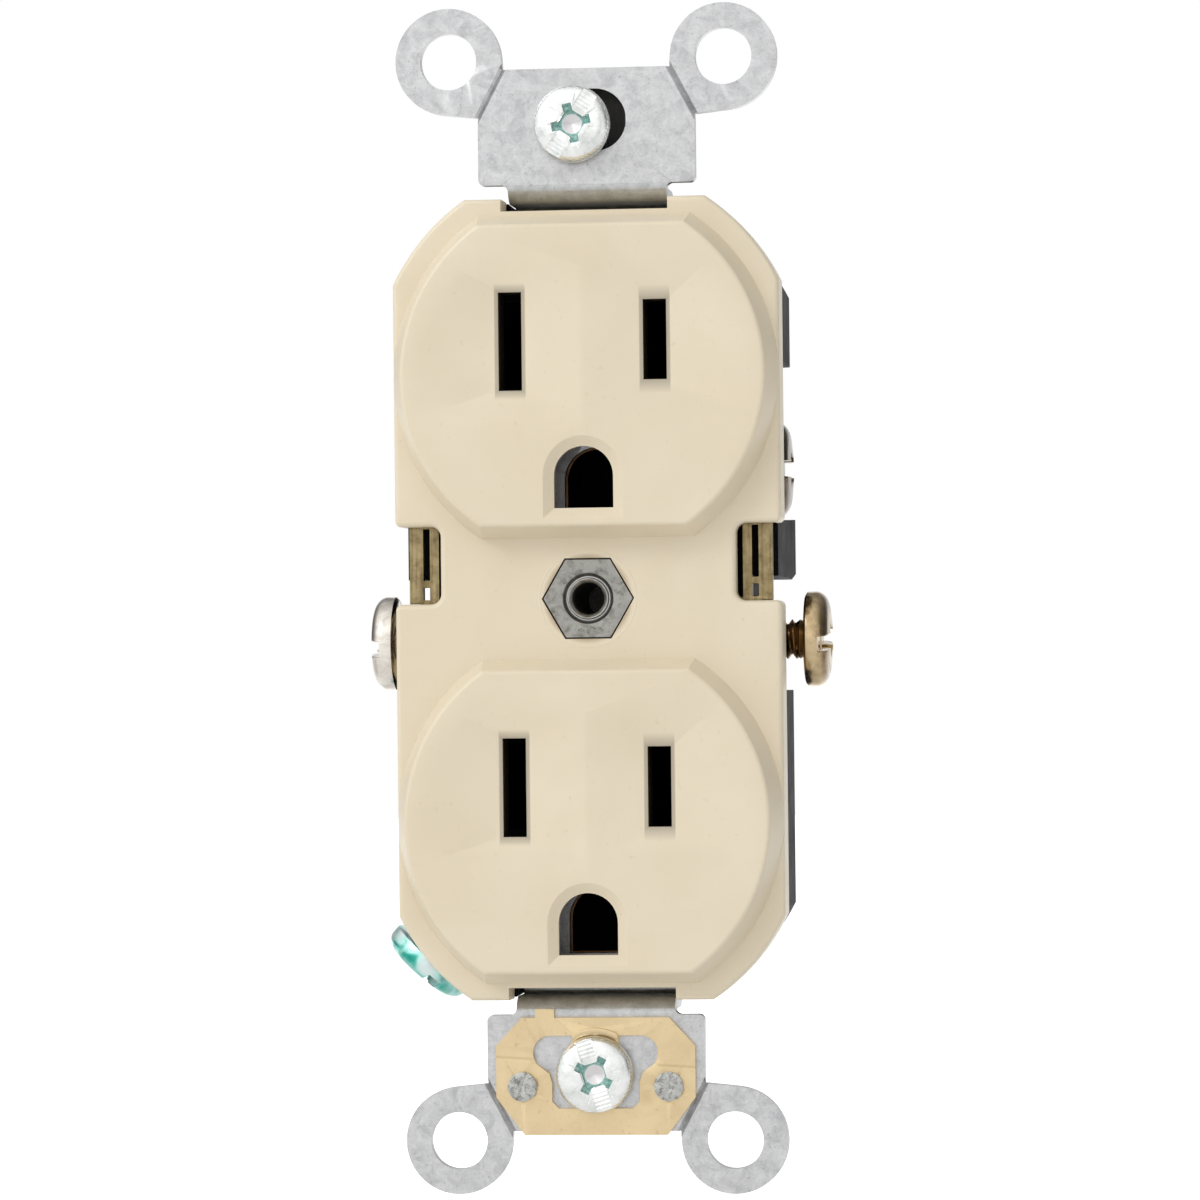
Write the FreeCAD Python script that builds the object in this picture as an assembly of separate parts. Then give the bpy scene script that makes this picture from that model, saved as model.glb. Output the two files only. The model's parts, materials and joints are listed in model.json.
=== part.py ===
"""A 15 A duplex wall receptacle, built up from its separate pieces.

+X is the line side (right, seen from the room), -Y faces the room and +Z is up. The origin lies on
the axis of the tapped hole for the wall plate's screw, in the plane of the wall: the back of the
plaster ears. A moulded cover and a base clamp a bent steel strap between them. The base holds two
one-piece contact strips, four push-in wire springs and two earth contacts riveted to the strap, and
a hollow hexagonal rivet holds the stack together. All sizes are millimetres.
"""

import FreeCAD, Part  # noqa: E401  FreeCAD has to come first

import math
import os

# Depth stations along Y, from the room towards the wall box
FACE_Y = -6.6            # front of the two raised outlet faces
FLANGE_Y = -3.6          # front of the cover's flange
PARTING_Y = 0.4          # where the cover meets the base
BACK_Y = 20.0            # rear of the base

# Plan of the cover and the base
PAIR_SPACING = 38.9      # from one outlet face's centre to the other's
BODY_HALF_WIDTH = 17.0
END_REACH = 15.65        # from a face's centre to the body's end
END_HALF_WIDTH = 10.6    # flat part of the body's end
CORNER_DROP = 7.39       # where the body's corner arcs meet its sides, down from the end
BODY_CORNER_R = 18.9
BASE_INSET = 0.6         # how far the base stands inside the cover's edge at the sides
BASE_END_INSET = 0.12    # and at the ends
BASE_DRAFT = 0.35        # further inset at the base's rear
BARRIER_INSET = 0.65     # rib between the terminal bays, inside the cover's edge
FACE_MARGIN = 0.05       # from a raised face's foot to the body's side
FACE_FLAT = 14.15        # half height of a raised face at its foot
FACE_DRAFT = 1.0         # how much smaller its front is
FACE_EDGE_R = 0.45
COVER_SKIN = 1.8
COVER_WALL = 1.6
BASE_WALL = 1.8
CLEARANCE = 0.15         # moulded part to metal part
RUNNING = 0.05           # screw to its hole

# Plug openings, placed from a face's centre
BLADE_SPACING = 12.7
BLADE_RISE = 3.0         # blade slots' centre above the face's centre
EARTH_DROP = 8.9         # earth hole's centre below the face's centre
SLOT_WIDTH = 2.05
NEUTRAL_SLOT = 8.6
LINE_SLOT = 7.0
EARTH_HALF_WIDTH = 2.6
EARTH_HALF_HEIGHT = 2.7
FUNNEL_DEPTH = 0.85      # lead-in around a blade slot
FUNNEL_HALF_HEIGHT = 6.4
FUNNEL_MARGIN = 2.65     # its outer side is an arc this far inside the face's foot
FUNNEL_RIDGE = 0.25      # half width of the ridge between the two lead-ins
EARTH_LEAD_IN = 0.9
EARTH_LEAD_DEPTH = 0.6
EARTH_LIP = 0.7          # straight part of the earth hole behind its lead-in
EARTH_RELIEF = 0.45      # how much wider the hole is behind that
GUIDE_WALL = 0.9

# Steel strap
STRAP_T = 1.2
STRAP_INNER_Y = 4.4      # front of the strap inside the body
NECK_HALF_WIDTH = 7.0
NECK_FILLET = 0.6        # inside corner between neck and plate
NECK_GAP = 0.2           # strap's outer bend to the body's end, measured inwards
BEND_INNER_R = 0.4
BOX_SCREW_Z = 41.67      # half of the 83.34 mm between the wall box's tapped holes
PLATE_HALF_WIDTH = 9.6
PLATE_TOP = 5.03         # plate's top beyond the box screw's axis
PLATE_CORNER = 2.2       # the corner cut on which an ear sits, across
PLATE_CORNER_RISE = 4.2  # and up
PLATE_FOOT_R = 0.5
EAR_X = 12.17
EAR_RISE = 5.83          # ear hole beyond the box screw's axis
EAR_R = 4.7
EAR_HOLE_R = 2.5
SCORE_DEPTH = 0.4
SCORE_BACK_DEPTH = 0.2
SLOT_RISE = 0.45         # slot's middle beyond the box screw's axis
SLOT_HALF_HEIGHT = 2.75
SLOT_HALF_LENGTH = {"top": 3.55, "bottom": 3.0}
SPINE_HALF_WIDTH = 2.75
MIDDLE_HALF_WIDTH = 5.2

# Contact strips
STRIP_T = 0.8
STRIP_FRONT_Y = -1.4
TERMINAL_INSET = 1.9     # terminal plate's outer face inside the body's side
TERMINAL_MID_Z = 3.8     # between the upper and lower terminal screws
TERMINAL_HALF_SPACING = 7.5
TERMINAL_SCREW_Y = 4.8
TERMINAL_PLATE_HALF = 3.7
TERMINAL_PLATE_BACK_Y = 9.6
WIRE_RISE = 5.6          # push-in wire hole beyond the terminal screw's axis
TAB_INSET = 0.95         # break-off tab's outer edge inside the body's side
TAB_WIDTH = 2.65
TAB_SLOT = (1.25, 1.8)   # slot in the tab, inwards from its outer edge
TAB_SLOT_Z = (1.76, 6.3)
TAB_HOLE_Z = (0.05, 1.14)
NOTCH_MID_Z = 3.05
NOTCH_HALF = 3.4
NOTCH_DEPTH = 4.0
NOTCH_R = 0.9
LEAF_T = 0.55
LEAF_HALF_WIDTH = 3.2
PINCH_HALF_GAP = 0.62
BUS_OFFSET = 1.95        # strip's inner edge beyond the blade's middle plane

# Screws
THREAD_R = 1.75
TERMINAL_HEAD_R = 4.2
TERMINAL_HEAD_T = 2.4
TERMINAL_THREAD = 6.4
TERMINAL_TURN = {"upper": 90, "lower": 82}
BACKED_OUT = {"line": 3.3, "neutral": 2.8}   # how far the lower terminal screws stand out
GROUND_BACKED_OUT = 1.0
BOX_HEAD_R = 3.4
BOX_HEAD_T = 1.9
BOX_SCREW_LENGTH = 19.0
BOX_SCREW_NECK = 5.0
BOX_SCREW_NECK_R = 1.45
TOP_SCREW_X = -1.1       # where the top screw lies in its slot
TOP_SCREW_STANDS = 0.5
DRIVE_SLOT = 1.4
DRIVE_DEPTH = 0.65
TERMINAL_DRIVE_DEPTH = 1.1
DRIVE_REACH = 1.62       # half length of the cross's arms

# Earth terminal
GROUND_ANGLE = 48.0      # below the horizontal, towards the lower left corner
GROUND_OFFSET = 32.9     # outer face of the earth tab, from the origin along that angle
GROUND_SIDE = -9.5       # its middle, measured along the tab
GROUND_SCREW_Y = 9.3
GROUND_SCREW_TURN = 30
GROUND_TAB_HALF = 3.3
GROUND_TAB_DEPTH = 8.9

# Centre rivet
HEX_HALF_FLATS = 3.4
HEX_DEPTH = 2.0
HEX_SUNK = 0.1
HEX_CLEARANCE = 0.13
RIVET_R = 2.4
PLATE_SCREW_R = 1.4
PLATE_THREAD_BACK_Y = 9.0
TAIL_BORE_R = 1.75
TAIL_BORE_DEPTH = 6.5    # blind, from the rolled end
RIVET_FLARE_R = 3.6
RIVET_FLARE_T = 0.7

# Self-grounding clip
CLIP_T = 0.5
CLIP_HALF_WIDTH = 8.8
CLIP_TOP = 4.97          # clip's edges, from the box screw's axis
CLIP_FOOT = 5.33
CLIP_RIVET_X = 6.45
CLIP_RIVET_DROP = 1.08
CLIP_RIVET_R = 1.28

# Push-in wire springs
WIRE_INSET = 2.5         # wire hole's axis inside the terminal plate's face
WIRE_HOLE_R = 1.15
WIRE_HOLE_DEPTH = 3.0
SPRING_T = 0.35
SPRING_HALF_WIDTH = 1.5
SPRING_CURL_R = 0.7
SPRING_ROOT_INSET = 4.2  # spring's root and tip inside the terminal plate's face
SPRING_ROOT_Y = 13.2
SPRING_TIP_INSET = 1.25
SPRING_TIP_Y = 7.4
RETAINER_T = 0.8

FACE_Z = PAIR_SPACING / 2
FACE_R = BODY_HALF_WIDTH - FACE_MARGIN    # foot of a raised face
BODY_HALF_HEIGHT = FACE_Z + END_REACH
TERMINAL_X = BODY_HALF_WIDTH - TERMINAL_INSET
TAB_OUTER_X = BODY_HALF_WIDTH - TAB_INSET
NOTCH_INNER_X = BODY_HALF_WIDTH - NOTCH_DEPTH
BUS_INNER_X = BLADE_SPACING / 2 + BUS_OFFSET
WIRE_X = TERMINAL_X - WIRE_INSET
SPRING_ROOT = (TERMINAL_X - SPRING_ROOT_INSET, SPRING_ROOT_Y)
SPRING_TIP = (TERMINAL_X - SPRING_TIP_INSET, SPRING_TIP_Y)
TERMINALS = {"upper": TERMINAL_MID_Z + TERMINAL_HALF_SPACING,
             "lower": TERMINAL_MID_Z - TERMINAL_HALF_SPACING}
WIRE_Z = {"upper": TERMINALS["upper"] + WIRE_RISE, "lower": TERMINALS["lower"] - WIRE_RISE}
BLADE_Z = [s * FACE_Z + BLADE_RISE for s in (1, -1)]
EARTH_Z = [s * FACE_Z - EARTH_DROP for s in (1, -1)]
END_Z = BODY_HALF_HEIGHT - NECK_GAP       # inner face of the strap's run along Y
CORE_X = TERMINAL_X - STRIP_T - 0.1       # wall that backs the terminal plates
STRAP_BACK_Y = STRAP_INNER_Y + STRAP_T
PLATE_FOOT_Z = END_Z + BEND_INNER_R + STRAP_T
PLATE_TOP_Z = BOX_SCREW_Z + PLATE_TOP
EAR_Z = BOX_SCREW_Z + EAR_RISE
CLIP_TOP_Z = BOX_SCREW_Z - CLIP_TOP
CLIP_FOOT_Z = BOX_SCREW_Z + CLIP_FOOT
CLIP_RIVET_Z = BOX_SCREW_Z + CLIP_RIVET_DROP


def vec(x, y, z):
    return FreeCAD.Vector(x, y, z)


def box(x0, x1, y0, y1, z0, z1):
    return Part.makeBox(x1 - x0, y1 - y0, z1 - z0, vec(x0, y0, z0))


def rod(start, along, radius, length):
    return Part.makeCylinder(radius, length, vec(*start), vec(*along))


def polygon_wire(points):
    return Part.makePolygon(points + points[:1])


def plate(points, y0, y1):
    """A flat plate: an outline of (x, z) points between two depths."""
    wire = polygon_wire([vec(x, y0, z) for x, z in points])
    return Part.Face(wire).extrude(vec(0, y1 - y0, 0))


def profile_x(points, x0, x1):
    """An outline of (y, z) points between two X stations."""
    wire = polygon_wire([vec(x0, y, z) for y, z in points])
    return Part.Face(wire).extrude(vec(x1 - x0, 0, 0))


def profile_z(points, z0, z1):
    """An outline of (x, y) points between two heights."""
    wire = polygon_wire([vec(x, y, z0) for x, y in points])
    return Part.Face(wire).extrude(vec(0, 0, z1 - z0))


def turned(points, base, axis):
    """A solid of revolution: (radius, height) points turned about an axis through base."""
    wire = polygon_wire([vec(r, 0, h) for r, h in points])
    solid = Part.Face(wire).revolve(vec(0, 0, 0), vec(0, 0, 1), 360)
    solid.Placement = FreeCAD.Placement(vec(*base), FreeCAD.Rotation(vec(0, 0, 1), vec(*axis)))
    return solid


def mirror_x(shape):
    return shape.mirror(vec(0, 0, 0), vec(1, 0, 0))


def mirror_z(shape):
    return shape.mirror(vec(0, 0, 0), vec(0, 0, 1))


def merged(first, *others):
    return first.fuse(list(others)).removeSplitter()


def thick_line(points, thickness):
    """The closed outline of a bent strip, from the points along its middle."""
    left, right = [], []
    for i, (x, y) in enumerate(points):
        x0, y0 = points[max(i - 1, 0)]
        x1, y1 = points[min(i + 1, len(points) - 1)]
        before = math.atan2(y - y0, x - x0) if i else math.atan2(y1 - y, x1 - x)
        after = math.atan2(y1 - y, x1 - x) if i < len(points) - 1 else before
        turn = math.remainder(after - before, 2 * math.pi)
        normal = before + turn / 2 + math.pi / 2
        reach = thickness / 2 / math.cos(turn / 2)
        left.append((x + reach * math.cos(normal), y + reach * math.sin(normal)))
        right.append((x - reach * math.cos(normal), y - reach * math.sin(normal)))
    return left + right[::-1]


def corner_circle():
    """Centre of the arc that joins the body's upper end to its right side."""
    x0, z0 = END_HALF_WIDTH, BODY_HALF_HEIGHT
    x1, z1 = BODY_HALF_WIDTH, BODY_HALF_HEIGHT - CORNER_DROP
    chord = math.hypot(x1 - x0, z1 - z0)
    back = math.sqrt(BODY_CORNER_R**2 - chord**2 / 4) / chord
    return (x0 + x1) / 2 + (z1 - z0) * back, (z0 + z1) / 2 + (x0 - x1) * back


def body_wire(side_inset, end_inset, y):
    """Plan of the cover or the base: a tall rectangle whose corners are shallow arcs."""
    half_width, half_height = BODY_HALF_WIDTH - side_inset, BODY_HALF_HEIGHT - end_inset
    corner_r = BODY_CORNER_R - side_inset
    centre_x, centre_z = corner_circle()
    end_x = centre_x + math.sqrt(corner_r**2 - (half_height - centre_z) ** 2)
    side_z = centre_z + math.sqrt(corner_r**2 - (half_width - centre_x) ** 2)
    edges = []
    for sx, sz in ((1, 1), (1, -1), (-1, -1), (-1, 1)):
        corner = math.atan2((half_height + side_z) / 2 - centre_z, (end_x + half_width) / 2 - centre_x)
        middle = vec(sx * (centre_x + corner_r * math.cos(corner)), y,
                     sz * (centre_z + corner_r * math.sin(corner)))
        end = vec(sx * end_x, y, sz * half_height)
        side = vec(sx * half_width, y, sz * side_z)
        first, last = (end, side) if sx == sz else (side, end)
        edges.append((first, Part.Arc(first, middle, last).toShape(), last))
    wire = []
    for i, (_, arc, last) in enumerate(edges):
        following = edges[(i + 1) % 4][0]
        wire += [arc, Part.makeLine(last, following)]
    return Part.Wire(wire)


def face_wire(radius, flat, centre_z, y):
    """Plan of a raised outlet face: a circle with a flat at the top and the bottom."""
    half = math.sqrt(radius**2 - flat**2)
    corners = [vec(sx * half, y, centre_z + sz * flat) for sx, sz in ((-1, 1), (1, 1), (1, -1), (-1, -1))]
    return Part.Wire([
        Part.makeLine(corners[0], corners[1]),
        Part.Arc(corners[1], vec(radius, y, centre_z), corners[2]).toShape(),
        Part.makeLine(corners[2], corners[3]),
        Part.Arc(corners[3], vec(-radius, y, centre_z), corners[0]).toShape(),
    ])


def earth_wire(grow, centre_z, y):
    """Plan of the earth hole, grown on all sides: square at the bottom, round at the top."""
    half, foot = EARTH_HALF_WIDTH + grow, centre_z - EARTH_HALF_HEIGHT - grow
    spring = centre_z + EARTH_HALF_HEIGHT - EARTH_HALF_WIDTH
    low_left, low_right = vec(-half, y, foot), vec(half, y, foot)
    left, right = vec(-half, y, spring), vec(half, y, spring)
    return Part.Wire([
        Part.makeLine(left, low_left),
        Part.makeLine(low_left, low_right),
        Part.makeLine(low_right, right),
        Part.Arc(right, vec(0, y, spring + half), left).toShape(),
    ])


def earth_prism(grow, centre_z, y0, y1):
    return Part.Face(earth_wire(grow, centre_z, y0)).extrude(vec(0, y1 - y0, 0))


def rect_wire(x0, x1, z0, z1, y):
    return polygon_wire([vec(x0, y, z0), vec(x1, y, z0), vec(x1, y, z1), vec(x0, y, z1)])


def loft(*wires):
    return Part.makeLoft(list(wires), True, True)


def edges_at_y(shape, y):
    """The edges that lie wholly in the plane of that depth."""
    return [e for e in shape.Edges if all(abs(v.Y - y) < 1e-6 for v in e.Vertexes)
            and abs(e.CenterOfMass.y - y) < 1e-6]


def edges_along_y(shape, where):
    """The straight edges parallel to Y whose (x, z) place passes the test."""
    found = []
    for edge in shape.Edges:
        if len(edge.Vertexes) == 2:
            a, b = (v.Point for v in edge.Vertexes)
            if abs(a.x - b.x) < 1e-6 and abs(a.z - b.z) < 1e-6 and where(a.x, a.z):
                found.append(edge)
    return found


# ---------------------------------------------------------------- moulded cover


def raised_face(centre_z):
    """One outlet face, drafted on all sides, with a rounded front edge."""
    block = loft(face_wire(FACE_R, FACE_FLAT, centre_z, FLANGE_Y + COVER_SKIN / 2),
                 face_wire(FACE_R, FACE_FLAT, centre_z, FLANGE_Y),)
    top = loft(face_wire(FACE_R, FACE_FLAT, centre_z, FLANGE_Y),
               face_wire(FACE_R - FACE_DRAFT, FACE_FLAT - FACE_DRAFT, centre_z, FACE_Y))
    top = top.makeFillet(FACE_EDGE_R, edges_at_y(top, FACE_Y))
    return block.fuse(top)


def slot_rect(side, centre_z, grow=0.0):
    """(x0, x1, z0, z1) of a blade slot: side +1 is the line slot, -1 the taller neutral slot."""
    middle = side * BLADE_SPACING / 2
    half = (LINE_SLOT if side > 0 else NEUTRAL_SLOT) / 2 + grow
    width = SLOT_WIDTH / 2 + grow
    return middle - width, middle + width, centre_z - half, centre_z + half


def blade_lead_in(side, centre_z):
    """A four-sided shallow hopper that leads a blade into its slot."""
    low, high = centre_z - FUNNEL_HALF_HEIGHT, centre_z + FUNNEL_HALF_HEIGHT
    round_z = centre_z - BLADE_RISE
    reach = [math.sqrt((FACE_R - FUNNEL_MARGIN) ** 2 - (z - round_z) ** 2) for z in (low, high, centre_z)]

    def mouth(y):
        p1, p2 = vec(FUNNEL_RIDGE, y, low), vec(reach[0], y, low)
        p3, p4 = vec(reach[1], y, high), vec(FUNNEL_RIDGE, y, high)
        arc = Part.Arc(p2, vec(reach[2], y, centre_z), p3).toShape()
        return Part.Wire([Part.makeLine(p1, p2), arc, Part.makeLine(p3, p4), Part.makeLine(p4, p1)])

    x0, x1, z0, z1 = slot_rect(1, centre_z, 0.06)
    if side < 0:
        wide = (NEUTRAL_SLOT - LINE_SLOT) / 2
        z0, z1 = z0 - wide, z1 + wide
    rise = loft(mouth(FACE_Y), rect_wire(x0, x1, z0, z1, FACE_Y + FUNNEL_DEPTH))
    hopper = rise.fuse(Part.Face(mouth(FACE_Y - 1)).extrude(vec(0, 1, 0)))
    return hopper if side > 0 else mirror_x(hopper)


def earth_lead_in(centre_z):
    cone = loft(earth_wire(EARTH_LEAD_IN, centre_z, FACE_Y),
                earth_wire(0.05, centre_z, FACE_Y + EARTH_LEAD_DEPTH))
    return cone.fuse(earth_prism(EARTH_LEAD_IN, centre_z, FACE_Y - 1, FACE_Y))


def hexagon(half_flats, y0, y1):
    """A hexagonal prism on the origin's axis with its points left and right."""
    corner = half_flats / math.cos(math.pi / 6)
    turns = [math.radians(60 * k) for k in range(6)]
    return plate([(corner * math.cos(a), corner * math.sin(a)) for a in turns], y0, y1)


def face_cover():
    depth = PARTING_Y - FLANGE_Y
    shell = Part.Face(body_wire(0, 0, FLANGE_Y))
    shell = shell.extrude(vec(0, depth, 0))
    shell = shell.makeFillet(FACE_EDGE_R, edges_at_y(shell, FLANGE_Y))
    hollow = Part.Face(body_wire(COVER_WALL, COVER_WALL + 1.1, FLANGE_Y + COVER_SKIN))
    cover = shell.cut(hollow.extrude(vec(0, depth, 0)))
    for centre_z in (FACE_Z, -FACE_Z):
        cover = cover.fuse(raised_face(centre_z))
    for centre_z in (FACE_Z, -FACE_Z):
        thin = COVER_WALL + FACE_DRAFT
        pocket = face_wire(FACE_R - thin, FACE_FLAT - thin, centre_z, FACE_Y + COVER_SKIN + FUNNEL_DEPTH)
        cover = cover.cut(Part.Face(pocket).extrude(vec(0, PARTING_Y - FACE_Y, 0)))

    # blade guides and the post round the rivet stand inside
    guide_end = STRIP_FRONT_Y - 0.35
    front = FACE_Y + FUNNEL_DEPTH + 1
    for centre_z in BLADE_Z:
        for side in (1, -1):
            x0, x1, z0, z1 = slot_rect(side, centre_z, GUIDE_WALL)
            cover = cover.fuse(box(x0, x1, front, guide_end, z0, z1))
    post_r = RIVET_R + CLEARANCE + 1.3
    cover = cover.fuse(rod((0, FLANGE_Y + 0.5, 0), (0, 1, 0), post_r, STRAP_INNER_Y - 0.1 - FLANGE_Y - 0.5))

    # ends: notched for the strap, with a tongue that closes the base's slot in front of it
    notch_foot = END_Z - 0.9
    gap = NECK_HALF_WIDTH + 0.35
    for s in (1, -1):
        z0, z1 = sorted((s * notch_foot, s * (BODY_HALF_HEIGHT + 1)))
        cover = cover.cut(box(-gap, gap, FLANGE_Y - 1, PARTING_Y + 1, z0, z1))
        z0, z1 = sorted((s * (notch_foot - 1.4), s * (notch_foot - 0.05)))
        tongue = box(-NECK_HALF_WIDTH, NECK_HALF_WIDTH, PARTING_Y - 1.5, STRAP_INNER_Y - 0.1, z0, z1)
        cover = cover.fuse(tongue)

    for centre_z in BLADE_Z:
        for side in (1, -1):
            cover = cover.cut(blade_lead_in(side, centre_z))
            x0, x1, z0, z1 = slot_rect(side, centre_z)
            cover = cover.cut(box(x0, x1, FACE_Y - 1, PARTING_Y + 5, z0, z1))
    for centre_z in EARTH_Z:
        cover = cover.cut(earth_lead_in(centre_z))
        cover = cover.cut(earth_prism(0, centre_z, FACE_Y - 1, STRAP_BACK_Y))
        relief_y = FACE_Y + EARTH_LEAD_DEPTH + EARTH_LIP
        cover = cover.cut(earth_prism(EARTH_RELIEF, centre_z, relief_y, STRAP_BACK_Y))
    hex_seat = FLANGE_Y + HEX_SUNK + HEX_DEPTH
    cover = cover.cut(hexagon(HEX_HALF_FLATS + HEX_CLEARANCE, FLANGE_Y - 1, hex_seat + 0.02))
    cover = cover.cut(rod((0, FLANGE_Y - 1, 0), (0, 1, 0), RIVET_R + CLEARANCE, 20))

    # side notches that show the break-off tabs, and the room behind them for the tab's ends
    for s in (1, -1):
        x0, x1 = sorted((s * NOTCH_INNER_X, s * (BODY_HALF_WIDTH + 1)))
        notch = box(x0, x1, FLANGE_Y - 1, PARTING_Y + 1, NOTCH_MID_Z - NOTCH_HALF, NOTCH_MID_Z + NOTCH_HALF)
        notch = notch.makeFillet(NOTCH_R, edges_along_y(notch, lambda x, z: abs(x) < NOTCH_INNER_X + 0.1))
        cover = cover.cut(notch)
        x0, x1 = sorted((s * (NOTCH_INNER_X + 0.3), s * (TAB_OUTER_X + 0.3)))
        relief = NOTCH_HALF + 1.6
        cover = cover.cut(box(x0, x1, FLANGE_Y + COVER_SKIN, PARTING_Y + 1,
                              NOTCH_MID_Z - relief, NOTCH_MID_Z + relief))
    cover = cover.removeSplitter()
    lips = edges_along_y(cover, lambda x, z: abs(abs(x) - BODY_HALF_WIDTH) < 1e-3
                         and abs(abs(z - NOTCH_MID_Z) - NOTCH_HALF) < 1e-3)
    return cover.makeFillet(0.5, lips) if lips else cover


# ---------------------------------------------------------------- steel strap


def neck(half_width):
    """The strap's two bends at the top end, from the outer plate to the plane inside the body."""
    outer_r = BEND_INNER_R + STRAP_T
    y1, z1 = -STRAP_T + outer_r, END_Z + outer_r      # centre of the outer bend
    y2, z2 = STRAP_INNER_Y - BEND_INNER_R, END_Z - BEND_INNER_R   # centre of the inner bend
    half = math.sqrt(0.5)

    def p(y, z):
        return vec(-half_width, y, z)

    wire = Part.Wire([
        Part.makeLine(p(0, z1), p(-STRAP_T, z1)),
        Part.Arc(p(-STRAP_T, z1), p(y1 - outer_r * half, z1 - outer_r * half), p(y1, END_Z)).toShape(),
        Part.makeLine(p(y1, END_Z), p(y2, END_Z)),
        Part.Arc(p(y2, END_Z), p(y2 + BEND_INNER_R * half, z2 + BEND_INNER_R * half),
                 p(STRAP_INNER_Y, z2)).toShape(),
        Part.makeLine(p(STRAP_INNER_Y, z2), p(STRAP_BACK_Y, z2)),
        Part.Arc(p(STRAP_BACK_Y, z2), p(y2 + outer_r * half, z2 + outer_r * half),
                 p(y2, END_Z + STRAP_T)).toShape(),
        Part.makeLine(p(y2, END_Z + STRAP_T), p(y1, END_Z + STRAP_T)),
        Part.Arc(p(y1, END_Z + STRAP_T), p(y1 - BEND_INNER_R * half, z1 - BEND_INNER_R * half),
                 p(0, z1)).toShape(),
    ])
    return Part.Face(wire).extrude(vec(2 * half_width, 0, 0))


def neck_fillet():
    """The rounded inside corner where the neck's right side meets the plate's foot."""
    reach = NECK_HALF_WIDTH + NECK_FILLET
    corner = box(NECK_HALF_WIDTH - 0.1, reach, -STRAP_T, STRAP_T, PLATE_FOOT_Z - NECK_FILLET, PLATE_FOOT_Z + 0.1)
    corner = corner.cut(rod((reach, -STRAP_T - 1, PLATE_FOOT_Z - NECK_FILLET), (0, 1, 0), NECK_FILLET, 4))
    return corner.common(neck(reach))


def tangent_point(x, z, side):
    """Where a line from (x, z) touches an ear's rim; side picks one of the two tangents."""
    dx, dz = x - EAR_X, z - EAR_Z
    away = math.hypot(dx, dz)
    turn = math.acos(EAR_R / away) if away > EAR_R else 0.0
    angle = math.atan2(dz, dx) + side * turn
    return EAR_X + EAR_R * math.cos(angle), EAR_Z + EAR_R * math.sin(angle)


def outer_plate(end):
    """The strap's plate, set at the top, with two scored ears and the box screw's slot of either end."""
    corner = (PLATE_HALF_WIDTH, PLATE_TOP_Z - PLATE_CORNER_RISE)
    top = (PLATE_HALF_WIDTH - PLATE_CORNER, PLATE_TOP_Z)
    right = [(PLATE_HALF_WIDTH, PLATE_FOOT_Z), corner, top]
    sheet = plate(right + [(-x, z) for x, z in right[::-1]], -STRAP_T, 0)
    sheet = sheet.makeFillet(PLATE_FOOT_R, edges_along_y(
        sheet, lambda x, z: abs(abs(x) - PLATE_HALF_WIDTH) < 1e-3 and abs(z - PLATE_FOOT_Z) < 1e-3))
    ear = rod((EAR_X, -STRAP_T, EAR_Z), (0, 1, 0), EAR_R, STRAP_T)
    web = [corner, tangent_point(*corner, 1), (EAR_X, EAR_Z), tangent_point(*top, -1), top]
    ear = ear.fuse(plate(web, -STRAP_T, 0))
    ear = ear.cut(rod((EAR_X, -STRAP_T - 1, EAR_Z), (0, 1, 0), EAR_HOLE_R, STRAP_T + 2))

    # the score is a V groove on both sides of the sheet, so that the ear snaps off there
    along = vec(top[0] - corner[0], 0, top[1] - corner[1])
    sheet = merged(sheet, ear, mirror_x(ear))
    for y, depth in ((-STRAP_T, SCORE_DEPTH), (0, -SCORE_BACK_DEPTH)):
        across = vec(along.z, 0, -along.x).normalize() * abs(depth) * 0.8
        start = vec(corner[0], y, corner[1]) - along * 0.1
        tip = start + vec(0, depth, 0)
        lift = vec(0, -math.copysign(0.05, depth), 0)
        wedge = Part.Face(polygon_wire([start - across + lift, start + across + lift, tip]))
        groove = wedge.extrude(along * 1.2)
        sheet = sheet.cut(groove).cut(mirror_x(groove))
    half = SLOT_HALF_LENGTH[end] - SLOT_HALF_HEIGHT
    slot_z = BOX_SCREW_Z + SLOT_RISE
    slot = box(-half, half, -STRAP_T - 1, 1, slot_z - SLOT_HALF_HEIGHT, slot_z + SLOT_HALF_HEIGHT)
    for x in (-half, half):
        slot = slot.fuse(rod((x, -STRAP_T - 1, slot_z), (0, 1, 0), SLOT_HALF_HEIGHT, STRAP_T + 2))
    return sheet.cut(slot)


def ground_point(across, out, y=0.0):
    """A point at the earth terminal: along the tab, and out from the origin square to it."""
    a = math.radians(GROUND_ANGLE)
    return vec(-out * math.cos(a) - across * math.sin(a), y, -out * math.sin(a) + across * math.cos(a))


def ground_block(half, out0, out1, y0, y1):
    corners = [(-half, out0), (half, out0), (half, out1), (-half, out1)]
    return polygon_block([ground_point(GROUND_SIDE + a, o, y0) for a, o in corners], y1 - y0)


def polygon_block(points, depth):
    return Part.Face(polygon_wire(points)).extrude(vec(0, depth, 0))


GROUND_AXIS = tuple(ground_point(0, 1))


def strap_middle(grow, y0, y1):
    """The strap's plane inside the body: wide at the ends and round the rivet, narrow between contacts."""
    end_z = END_Z - BEND_INNER_R + grow
    blade_clear = LEAF_HALF_WIDTH + 2.2
    up_hi, up_lo = BLADE_Z[0] + blade_clear, BLADE_Z[0] - blade_clear
    low_hi, low_lo = BLADE_Z[1] + blade_clear, BLADE_Z[1] - blade_clear
    wide, mid, thin = (w + grow for w in (NECK_HALF_WIDTH, MIDDLE_HALF_WIDTH, SPINE_HALF_WIDTH))
    right = [(wide, end_z), (wide, up_hi - grow), (thin, up_hi - grow), (thin, up_lo + grow),
             (mid, up_lo + grow), (mid, low_hi - grow), (thin, low_hi - grow), (thin, low_lo + grow),
             (wide, low_lo + grow), (wide, -end_z)]
    return plate(right + [(-x, z) for x, z in right[::-1]], y0, y1)


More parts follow.
